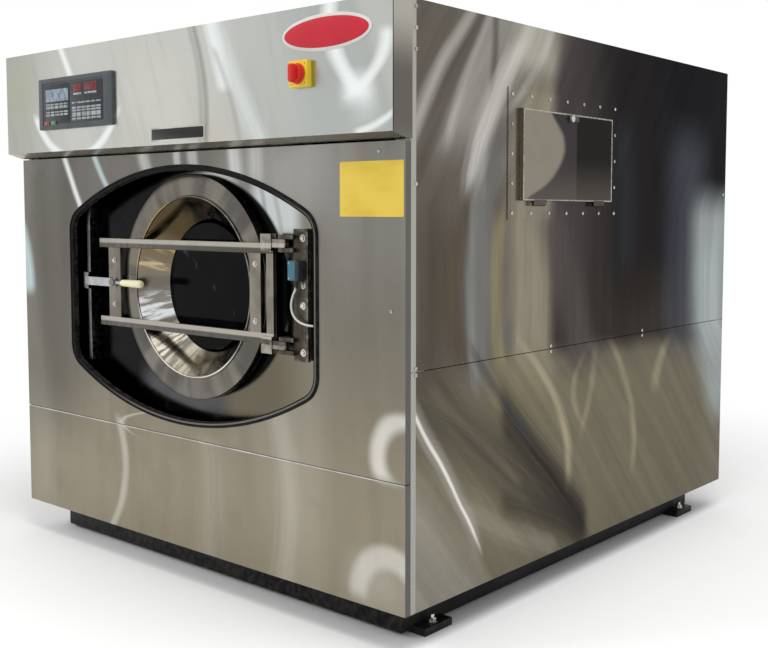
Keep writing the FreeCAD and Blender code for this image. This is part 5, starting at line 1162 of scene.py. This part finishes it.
def rounded(sides, heights, radius, steps=6):
    """A rectangle with round corners that can be drawn in by an inset."""
    def outline(inset):
        points = []
        turn = max(radius - inset, 0.0002)
        corners = ((sides[1], heights[1], 0), (sides[0], heights[1], 1),
                   (sides[0], heights[0], 2), (sides[1], heights[0], 3))
        for across, up, quarter in corners:
            centre_x = across - math.copysign(inset + turn, across - sum(sides) / 2)
            centre_z = up - math.copysign(inset + turn, up - sum(heights) / 2)
            for step in range(steps + 1):
                angle = math.pi / 2 * (quarter + step / steps)
                points.append((centre_x + turn * math.cos(angle), centre_z + turn * math.sin(angle)))
        return points
    return outline


def add_stack(bm, side, at, layers):
    """A closed form through outlines, each at its own distance out from the plane."""
    rows = [[on(side, at, across, up, out) for across, up in outline] for outline, out in layers]
    made = smooth_sheet(bm, rows)
    bm.faces.new(made[0])
    bm.faces.new(made[-1])


def add_turned(bm, side, at, middle, profile, steps, turn=0.0):
    """A round or many-sided form through (radius, distance out) points."""
    add_stack(bm, side, at, [(ring_of(middle, radius, radius, steps, turn), out)
                             for radius, out in profile])


def add_plate(bm, side, at, outline, thick, edge, start=0.0):
    """A flat plate with softened front edges."""
    add_stack(bm, side, at, ((outline(0), start), (outline(0), thick - edge),
                             (outline(edge * 0.3), thick - edge * 0.3), (outline(edge), thick)))


def add_screw(bm, side, at, middle, radius, high):
    """A domed screw head with a round drive recess."""
    shares = ((1.0, 0.0), (1.0, 0.30), (0.90, 0.68), (0.62, 0.94), (0.42, 1.0), (0.36, 0.96),
              (0.32, 0.45))
    add_turned(bm, side, at, middle, [(radius * wide, high * out) for wide, out in shares], 18)


def add_bolt(bm, side, at, middle, radius, high, turn=0.2):
    """A hexagon head on its washer."""
    washer = ((1.42, 0.0), (1.42, 0.14), (1.34, 0.20))
    add_turned(bm, side, at, middle, [(radius * wide, high * out) for wide, out in washer], 24)
    head = ((1.0, 0.18), (1.0, 0.86), (0.88, 1.0))
    add_turned(bm, side, at, middle, [(radius * wide, high * out) for wide, out in head], 6, turn)


def islands(node):
    """The lowest and highest corners of each loose part of a CAD node."""
    bm = bmesh.new()
    bm.from_mesh(cad_nodes[node].data)
    bmesh.ops.remove_doubles(bm, verts=bm.verts, dist=1e-6)
    left = set(bm.verts)
    boxes = []
    while left:
        waiting = [left.pop()]
        corners = []
        while waiting:
            vert = waiting.pop()
            corners.append(vert.co.copy())
            for edge in vert.link_edges:
                other = edge.other_vert(vert)
                if other in left:
                    left.remove(other)
                    waiting.append(other)
        boxes.append(([min(spot[axis] for spot in corners) for axis in range(3)],
                      [max(spot[axis] for spot in corners) for axis in range(3)]))
    bm.free()
    return boxes


# ---------------------------------------------------------------- cabinet pieces

def make_screws():
    """Domed screws in place of the plain ones, each where the frame has it."""
    for node in ("hatch_screws", "panel_screws"):
        bm = bmesh.new()
        for low, high in islands(node):
            sizes = [high[axis] - low[axis] for axis in range(3)]
            axis = sizes.index(min(sizes))
            middle = [(low[way] + high[way]) / 2 for way in range(3) if way != axis]
            positive = low[axis] + high[axis] > 0
            side = (("left", "right"), ("front", "back"), ("top", "top"))[axis][positive]
            add_screw(bm, side, low[axis] if positive else high[axis], middle,
                      max(sizes) / 2, sizes[axis])
        piece = piece_from(bm, node + "_domed", "cabinet", "screw_steel")
        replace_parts(piece, node)


def add_ring(bm, side, at, layers):
    """A closed ring through outlines, each at its own distance out from the plane."""
    rows = [[on(side, at, across, up, out) for across, up in outline] for outline, out in layers]
    made = smooth_sheet(bm, rows)
    count = len(rows[0])
    for index in range(count):
        after = (index + 1) % count
        bm.faces.new((made[-1][index], made[-1][after], made[0][after], made[0][index]))


def mouth_outline(grow):
    """The rounded outline of the front opening, grown outwards."""
    middle, half, arc_radius, corner = -0.0095, 0.5555, 1.125, 0.070
    low, high = 0.473, 1.207
    inward = half - corner
    rise = math.sqrt((arc_radius - corner) ** 2 - inward ** 2)
    lean = math.atan2(rise, inward)
    crown, belly = high - arc_radius, low + arc_radius
    arcs = (((middle + inward, crown + rise), corner, 0.0, lean, 12),
            ((middle, crown), arc_radius, lean, math.pi - lean, 60),
            ((middle - inward, crown + rise), corner, math.pi - lean, math.pi, 12),
            ((middle - inward, belly - rise), corner, math.pi, math.pi + lean, 12),
            ((middle, belly), arc_radius, math.pi + lean, 2 * math.pi - lean, 60),
            ((middle + inward, belly - rise), corner, 2 * math.pi - lean, 2 * math.pi, 12))
    points = []
    for centre, radius, start, end, steps in arcs:
        for step in range(steps):
            angle = start + (end - start) * step / steps
            points.append((centre[0] + (radius + grow) * math.cos(angle),
                           centre[1] + (radius + grow) * math.sin(angle)))
    return points


def make_trim():
    """The rubber trim round the opening: a black double bead with a filler in its groove, painted grey where
    it catches the light.
    """
    beads = ((-0.0065, -0.0140), (-0.0065, 0.0022), (-0.0055, 0.0036), (-0.0040, 0.0036),
             (-0.0030, 0.0016), (0.0022, 0.0016), (0.0032, 0.0042), (0.0052, 0.0054), (0.0076, 0.0052),
             (0.0094, 0.0036), (0.0100, 0.0003), (0.0001, 0.0003), (0.0001, -0.0140))
    bm = bmesh.new()
    add_ring(bm, "front", FRONT_Y, [(mouth_outline(grow), out) for grow, out in beads])
    trim = piece_from(bm, "opening_trim_beads", "cabinet", "rubber_black", angle=50.0)
    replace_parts(trim, "opening_trim")
    filler = ((-0.0031, 0.0012), (-0.0030, 0.0024), (-0.0012, 0.0032), (0.0006, 0.0032),
              (0.0022, 0.0026), (0.0023, 0.0012))
    bm = bmesh.new()
    add_ring(bm, "front", FRONT_Y, [(mouth_outline(grow), out) for grow, out in filler])
    piece_from(bm, "opening_trim_filler", "cabinet", "rubber_black", filler_grey, 50.0)


def make_seams():
    """The kick panel's top edge and the fascia's corner beads as bright plates that paint highlights, and
    strips behind the side seams.
    """
    bm = bmesh.new()
    inner_skin = 0.8302
    for side, at in (("right", inner_skin), ("left", -inner_skin)):
        add_plate(bm, side, at, rounded((-0.79, 0.79), (0.684, 0.710), 0.002, 3), 0.0012, 0.0004)
    piece_from(bm, "side_seam_backing", "cabinet", "switch_dark")
    bm = bmesh.new()
    # Painted highlight: a thin bright plate along the kick panel's top edge.
    add_plate(bm, "front", FRONT_Y, rounded((-0.8485, 0.8485), (0.4222, 0.4258), 0.0012, 3),
              0.0011, 0.0005)
    piece_from(bm, "kick_panel_edge", "cabinet", "stainless_front", FINISHES["screw_steel"])
    bm = bmesh.new()
    # Painted highlights: thin bright plates on the fascia's corners.
    for side, at in (("right", FASCIA_X - 0.0008), ("left", 0.0008 - FASCIA_X)):
        add_plate(bm, side, at, rounded((FASCIA_Y + 0.0002, FASCIA_Y + 0.0032), (1.272, 1.5845), 0.0010, 3),
                  0.0008, 0.0003)
    piece_from(bm, "fascia_corner_highlight_beads", "cabinet", "stainless_front", FINISHES["screw_steel"])


def make_plates():
    """The bare plates in the places of the marks: a red oval, a black strip and a yellow film."""
    shift = (-0.921 - FASCIA_Y) * 1.05
    middle = (0.6225 + shift, 1.5170)
    bm = bmesh.new()
    add_stack(bm, "front", FASCIA_Y, ((ring_of(middle, 0.1535, 0.0450, 96), 0.0),
                                      (ring_of(middle, 0.1535, 0.0450, 96), 0.0012),
                                      (ring_of(middle, 0.1505, 0.0420, 96), 0.0022),
                                      (ring_of(middle, 0.1440, 0.0355, 96), 0.0022)))
    piece_from(bm, "oval_plate_rim", "cabinet", "cable_white")
    bm = bmesh.new()
    layers = []
    for share, out in ((1.0, 0.0018), (0.995, 0.0026), (0.96, 0.0031), (0.80, 0.0038),
                       (0.55, 0.0043), (0.25, 0.0045)):
        layers.append((ring_of(middle, 0.1450 * share, 0.0365 * share, 96), out))
    add_stack(bm, "front", FASCIA_Y, layers)
    piece_from(bm, "oval_plate_face", "cabinet", "knob_red", badge_enamel)
    bm = bmesh.new()
    add_plate(bm, "front", FASCIA_Y, rounded((-0.0835 + shift, 0.1580 + shift),
                                             (1.2800, 1.3190), 0.004), 0.0012, 0.0005)
    piece_from(bm, "strip_plate_rim", "cabinet", "screw_steel")
    bm = bmesh.new()
    add_plate(bm, "front", FASCIA_Y, rounded((-0.0785 + shift, 0.1530 + shift),
                                             (1.2845, 1.3145), 0.003), 0.0018, 0.0004, 0.001)
    piece_from(bm, "strip_plate_face", "cabinet", "switch_dark", strip_enamel)
    bm = bmesh.new()
    add_plate(bm, "front", FRONT_Y, rounded((0.6340, 0.8450), (1.0710, 1.2060), 0.004), 0.0006, 0.0003)
    piece_from(bm, "yellow_label", "cabinet", "plate_yellow", label_film)
    bm = bmesh.new()
    add_screw(bm, "front", FRONT_Y, (0.7650, 1.2290), 0.0050, 0.0030)
    add_screw(bm, "front", FRONT_Y, (0.8050, 0.8440), 0.0050, 0.0030)
    piece_from(bm, "front_panel_screws", "cabinet", "screw_steel")


def make_control_panel():
    """The control panel: a rounded frame, a sunk film with lit windows, and two columns of keys."""
    low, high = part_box("control_panel")
    wide, tall = high[0] - low[0], high[2] - low[2]

    def part(left, right, top, bottom):
        """Shares across and down the panel as its sides and heights."""
        return ((low[0] + wide * left, low[0] + wide * right),
                (high[2] - tall * bottom, high[2] - tall * top))

    frame_face = high[1] - low[1]
    bm = bmesh.new()
    outer = rounded((low[0], high[0]), (low[2], high[2]), 0.006)
    inner = rounded(*part(0.055, 0.90, 0.09, 0.91), 0.004)
    layers = [(outer(0), 0.0), (outer(0), frame_face - 0.002), (outer(0.0006), frame_face - 0.0006),
              (outer(0.002), frame_face), (inner(0), frame_face), (inner(0.0008), frame_face - 0.002)]
    add_stack(bm, "front", high[1], layers)
    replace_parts(piece_from(bm, "control_panel_frame", "cabinet", "panel_dark"),
                "control_panel")
    bm = bmesh.new()
    for sides, heights in (part(0.075, 0.440, 0.12, 0.89), part(0.450, 0.880, 0.12, 0.89)):
        add_plate(bm, "front", high[1], rounded(sides, heights, 0.003), frame_face - 0.0016, 0.0003,
                  frame_face - 0.0024)
    piece_from(bm, "control_panel_film", "cabinet", "switch_dark", panel_film)
    windows = (("panel_window_grey", window_grey, ((0.10, 0.415, 0.22, 0.46),)),
               ("panel_windows_red", window_red, ((0.487, 0.60, 0.17, 0.31), (0.64, 0.80, 0.15, 0.31))),
               ("panel_light_strips", strip_pale, ((0.487, 0.60, 0.335, 0.375),
                                                   (0.64, 0.80, 0.335, 0.375))))
    for name, finish, places in windows:
        bm = bmesh.new()
        for place in places:
            add_plate(bm, "front", high[1], rounded(*part(*place), 0.0015), frame_face - 0.0008,
                      0.0003, frame_face - 0.0018)
        piece_from(bm, name, "cabinet", "switch_dark", finish)
    bm = bmesh.new()
    left_rows = ((0.50, 0.53), (0.545, 0.60), (0.65, 0.68), (0.70, 0.74))
    right_rows = ((0.51, 0.54), (0.60, 0.64), (0.655, 0.69), (0.71, 0.79), (0.81, 0.85))
    for rows, start, end, count in ((left_rows, 0.10, 0.415, 5), (right_rows, 0.465, 0.857, 6)):
        for top, bottom in rows:
            for number in range(count):
                pitch = (end - start) / count
                left = start + pitch * number
                sides, heights = part(left + pitch * 0.06, left + pitch * 0.90, top, bottom)
                add_plate(bm, "front", high[1], rounded(sides, heights, 0.0012, 3),
                          frame_face - 0.0006, 0.0003, frame_face - 0.0018)
    piece_from(bm, "panel_keys", "cabinet", "switch_dark", strip_pale)
    for node in ("stop_key", "start_key"):
        softened(node, 0.0008)


def make_isolator():
    """The isolator: a rounded plate with its screws, and a ribbed knob with a bar."""
    low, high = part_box("isolator_plate")
    softened("isolator_plate", 0.0025, segments=3)
    bm = bmesh.new()
    inset = 0.0075
    for across in (low[0] + inset, high[0] - inset):
        for up in (low[2] + inset, high[2] - inset):
            add_screw(bm, "front", low[1], (across, up), 0.0026, 0.0012)
    piece_from(bm, "isolator_plate_screws", "cabinet", "screw_steel")
    knob_low, knob_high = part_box("isolator_knob")
    middle = ((knob_low[0] + knob_high[0]) / 2, (knob_low[2] + knob_high[2]) / 2)
    face = low[1] - 0.0003
    reach = face - knob_low[1]
    bm = bmesh.new()
    steps = 96
    layers = []
    for radius, out, rib in ((0.0255, 0.0, 0.0), (0.0255, 0.0030, 0.0), (0.0232, 0.0042, 0.0),
                             (0.0226, 0.0050, 0.0009), (0.0220, 0.0125, 0.0009),
                             (0.0206, 0.0140, 0.0004), (0.0190, 0.0145, 0.0)):
        ring = []
        for step in range(steps):
            angle = 2 * math.pi * step / steps
            far = radius + rib * math.cos(angle * 16)
            ring.append((middle[0] + far * math.cos(angle), middle[1] + far * math.sin(angle)))
        layers.append((ring, out))
    add_stack(bm, "front", face, layers)
    bar = rounded((middle[0] - 0.0078, middle[0] + 0.0078),
                  (middle[1] - 0.0225, middle[1] + 0.0225), 0.0066)
    add_stack(bm, "front", face, ((bar(-0.0010), 0.0110), (bar(0.0), reach - 0.0030),
                                  (bar(0.0010), reach - 0.0008), (bar(0.0028), reach)))
    knob = piece_from(bm, "isolator_knob_ribbed", "isolator_knob", "knob_red")
    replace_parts(knob, "isolator_knob")
    bm = bmesh.new()
    add_plate(bm, "front", face, rounded((middle[0] - 0.0011, middle[0] + 0.0011),
                                         (middle[1] + 0.0060, middle[1] + 0.0190), 0.0008, 3),
              reach - 0.00005, 0.0001, reach - 0.0012)
    piece_from(bm, "isolator_knob_line", "isolator_knob", "cable_white")


def make_hatch():
    """The hatch: the rolled rim of its lid, and its latch with a knob and a tab."""
    low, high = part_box("hatch_lid")
    bottom = 1.115
    bm = bmesh.new()
    outer = rounded((low[1] + 0.0002, high[1] - 0.0002), (bottom, high[2] - 0.0002), 0.004)
    face = low[0] + 0.0120
    add_ring(bm, "right", face, ((outer(0.0), -0.0004), (outer(0.0006), 0.0009), (outer(0.0036), 0.0009),
                                 (outer(0.0048), -0.0004)))
    piece_from(bm, "hatch_lid_rim", "hatch_lid", "stainless_side", rim_steel)
    knob_low, knob_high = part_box("hatch_latch")
    middle = (knob_low[1] + 0.011, (knob_low[2] + knob_high[2]) / 2)
    bm = bmesh.new()
    radius, start, end = 0.0105, low[0] + 0.0131, knob_high[0]
    shares = ((1.0, 0.0), (1.0, 0.45), (0.92, 0.80), (0.70, 0.96), (0.35, 1.0))
    add_turned(bm, "right", start, middle,
               [(radius * share, (end - start) * out) for share, out in shares], 36)
    knob = piece_from(bm, "hatch_latch_knob", "hatch_latch", "screw_steel")
    bm = bmesh.new()
    add_plate(bm, "right", start, rounded((middle[0] + 0.004, knob_high[1]),
                                          (middle[1] - 0.0085, middle[1] + 0.0085), 0.003),
              0.0058, 0.0012)
    tab = piece_from(bm, "hatch_latch_tab", "hatch_latch", "switch_dark")
    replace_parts(knob, "hatch_latch")
    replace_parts(tab, "hatch_latch")


# ---------------------------------------------------------------- door pieces

def make_door():
    """The door: rounded straps and blocks, a turned ring with a lip painted bright below, and its bolts."""
    softened("door_frame", 0.0014, strap_steel)
    softened("door_ring", 0.0016)
    ring_low, ring_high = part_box("door_ring")
    centre = (AXIS_X, 0.0, AXIS_Z)
    lip = 0.2620
    face = ring_low[1]
    lathe("door_ring_lip", centre, "Y",
          ((lip + 0.0010, face + 0.0040), (lip - 0.0006, face + 0.0030), (lip - 0.0010, face + 0.0014),
           (lip - 0.0002, face + 0.0003), (lip + 0.0018, face + 0.0001), (lip + 0.0034, face + 0.0012),
           (lip + 0.0030, face + 0.0040)), "door", "stainless_polished", lip_steel, closed=True)
    bm = bmesh.new()
    clamp, strip, strap = -0.362, 0.293, 0.356
    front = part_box("door_frame")[0][1] + 0.0138
    for across, ups in ((clamp, (0.795, 0.931)), (strip, (0.785, 0.941)), (strap, (0.741, 0.985))):
        for up in ups:
            add_bolt(bm, "front", front, (across, up), 0.0062, 0.0050)
    piece_from(bm, "door_bolts", "door", "screw_steel")


def make_latch():
    """The latch: a rounded arm on its pivot bolt and a turned cream grip with end rings."""
    softened("latch_arm", 0.0009, latch_steel)
    low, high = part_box("latch_grip")
    middle = (0.0, (low[1] + high[1]) / 2, (low[2] + high[2]) / 2)
    radius = (high[2] - low[2]) / 2
    long = high[0] - low[0]
    profile = []
    for share, wide in ((0.0, 0.62), (0.02, 0.80), (0.05, 0.86), (0.06, 0.82), (0.09, 0.84),
                        (0.25, 0.92), (0.50, 0.985), (0.72, 1.0), (0.86, 0.985), (0.94, 0.90),
                        (0.98, 0.72), (1.0, 0.45)):
        profile.append((radius * wide, low[0] + long * share))
    grip = lathe("latch_grip_turned", middle, "X", profile, "latch", "grip_cream",
                 steps=48)
    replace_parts(grip, "latch_grip")
    bm = bmesh.new()
    add_bolt(bm, "front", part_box("latch_arm")[0][1], (-0.362, AXIS_Z), 0.0080, 0.0045)
    piece_from(bm, "latch_pivot_bolt", "latch", "screw_steel")
    softened("latch_post", 0.0010, post_steel)


def make_hinge_side():
    """The hinge bracket with its bolts, the teal switch with its dark end, and the gland."""
    softened("door_hinge_bracket", 0.0012)
    bm = bmesh.new()
    bracket_face, bolt_line = -0.8550, 0.468
    for up in (0.712, 0.836, 0.890, 1.014):
        add_bolt(bm, "front", bracket_face, (bolt_line, up), 0.0070, 0.0055)
    piece_from(bm, "hinge_bracket_bolts", "tub", "screw_steel")
    softened("door_switch", 0.0022, segments=3)
    low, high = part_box("door_switch")
    bm = bmesh.new()
    add_plate(bm, "front", low[1] + 0.0040, rounded((high[0] - 0.0135, high[0] + 0.0012),
                                                    (low[2] - 0.0008, high[2] + 0.0008), 0.003),
              0.0048, 0.0010, -0.018)
    piece_from(bm, "door_switch_cap", "tub", "switch_dark")
    bm = bmesh.new()
    for across, up in ((low[0] + 0.006, low[2] + 0.006), (low[0] + 0.006, high[2] - 0.006)):
        add_screw(bm, "front", low[1], (across, up), 0.0026, 0.0012)
    piece_from(bm, "door_switch_screws", "tub", "screw_steel")
    lathe("lead_sleeve", (0.457, -0.868, 0.0), "Z",
          ((0.0052, 0.9030), (0.0052, 0.8990), (0.0046, 0.8965), (0.0044, 0.8900), (0.0038, 0.8840),
           (0.0034, 0.8820)), "tub", "switch_dark", steps=32)


# ---------------------------------------------------------------- springs, base and back

def make_springs():
    """The four springs, wound as the frame has them."""
    for end in ("front", "back"):
        for side in ("left", "right"):
            node = "spring_%s_%s" % (end, side)
            bm = bmesh.new()
            bm.from_mesh(cad_nodes[node].data)
            spring = piece_from(bm, node + "_wound", cad_nodes[node]["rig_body"], slot_of[node],
                                FINISHES["spring_steel"])
            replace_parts(spring, node)
            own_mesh(spring)


def make_base():
    """The black base with rounded rails, and the anchor bolts with their washers and studs."""
    softened("base_frame", 0.0020)
    bm = bmesh.new()
    lug_top = 0.0200
    stud = ((0.0058, 0.008), (0.0058, 0.0185), (0.0050, 0.0200))
    for across in (-0.7825, 0.7825):
        for along in (-0.700, 0.700):
            add_bolt(bm, "top", lug_top, (across, along), 0.0105, 0.0110, turn=0.4)
            add_turned(bm, "top", lug_top, (across, along), stud, 20)
    piece_from(bm, "anchor_bolts", "cabinet", "screw_steel")


def make_louvres(name, side, at, across, heights, count):
    """A field of pressed louvres, each a hood over its slot."""
    pitch = (heights[1] - heights[0]) / count
    bm = bmesh.new()
    for number in range(count):
        low = heights[0] + pitch * number
        rows = []
        for share, out in ((0.0, 0.0), (0.05, 0.0075), (0.30, 0.0078), (0.62, 0.0042), (0.86, 0.0008),
                           (0.92, 0.0)):
            ends = 0.012 * (1.0 - min(out / 0.0078, 1.0)) * 0.5
            up = low + pitch * share
            row = [on(side, at, across[0] + 0.010 - ends, up, 0.0), on(side, at, across[0] + 0.016, up, out),
                   on(side, at, across[1] - 0.016, up, out), on(side, at, across[1] - 0.010 + ends, up, 0.0)]
            rows.append(row)
        smooth_sheet(bm, rows, closed=False)
    piece_from(bm, name, "cabinet", "stainless_side", angle=24.0)


def make_back():
    """The back: louvre fields, a service cover, the pipes' threads and nuts, and a cable entry."""
    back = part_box("back_panel")[1][1]
    for number, across in enumerate(((-0.70, -0.30), (0.30, 0.70))):
        make_louvres("back_louvres_%d" % (number + 1), "back", back, across, (0.18, 0.58), 12)
    bm = bmesh.new()
    cover_thick = 0.0030
    add_plate(bm, "back", back, rounded((-0.52, 0.52), (0.66, 1.24), 0.012), cover_thick, 0.0012)
    piece_from(bm, "back_service_cover", "cabinet", "stainless_side")
    bm = bmesh.new()
    places = [(across, up) for across in (-0.50, -0.25, 0.0, 0.25, 0.50) for up in (0.68, 1.22)]
    places += [(across, up) for across in (-0.50, 0.50) for up in (0.86, 1.04)]
    for place in places:
        add_screw(bm, "back", back + cover_thick, place, 0.0052, 0.0032)
    piece_from(bm, "back_cover_screws", "cabinet", "screw_steel")
    for number, across in enumerate((-0.140, 0.0, 0.140)):
        add_pipe_end(number + 1, across, back)
    bm = bmesh.new()
    middle = (-0.62, 1.38)
    for radius, start, end in ((0.030, 0.0, 0.006), (0.024, 0.006, 0.022), (0.019, 0.022, 0.034)):
        steps = 6 if radius == 0.024 else 40
        add_turned(bm, "back", back, middle,
                   ((radius, start), (radius, end - 0.0012), (radius - 0.0014, end)), steps)
    piece_from(bm, "mains_entry", "cabinet", "switch_dark")


def add_pipe_end(number, across, back):
    """One inlet's locking nut against the back panel and the ridges of its thread."""
    middle = (across, 1.420)
    bm = bmesh.new()
    nut = ((0.0300, 0.0), (0.0300, 0.0040), (0.0280, 0.0048))
    add_turned(bm, "back", back, middle, nut, 6, 0.3)
    piece_from(bm, "inlet_nut_%d" % number, "cabinet", "brass_pipe")
    bm = bmesh.new()
    half_turns, root, crest, start, threaded = 28, 0.01665, 0.01735, 0.008, 0.044
    ridges = [(root if step % 2 else crest, start + threaded * step / half_turns)
              for step in range(half_turns + 1)]
    add_turned(bm, "back", back, middle, ridges, 40)
    piece_from(bm, "inlet_thread_%d" % number, "cabinet", "brass_pipe", angle=20.0)


for make in (make_lead, make_screws, make_trim, make_seams, make_plates, make_control_panel,
             make_isolator, make_hatch, make_door, make_latch, make_hinge_side, make_springs, make_base,
             make_back):
    make()
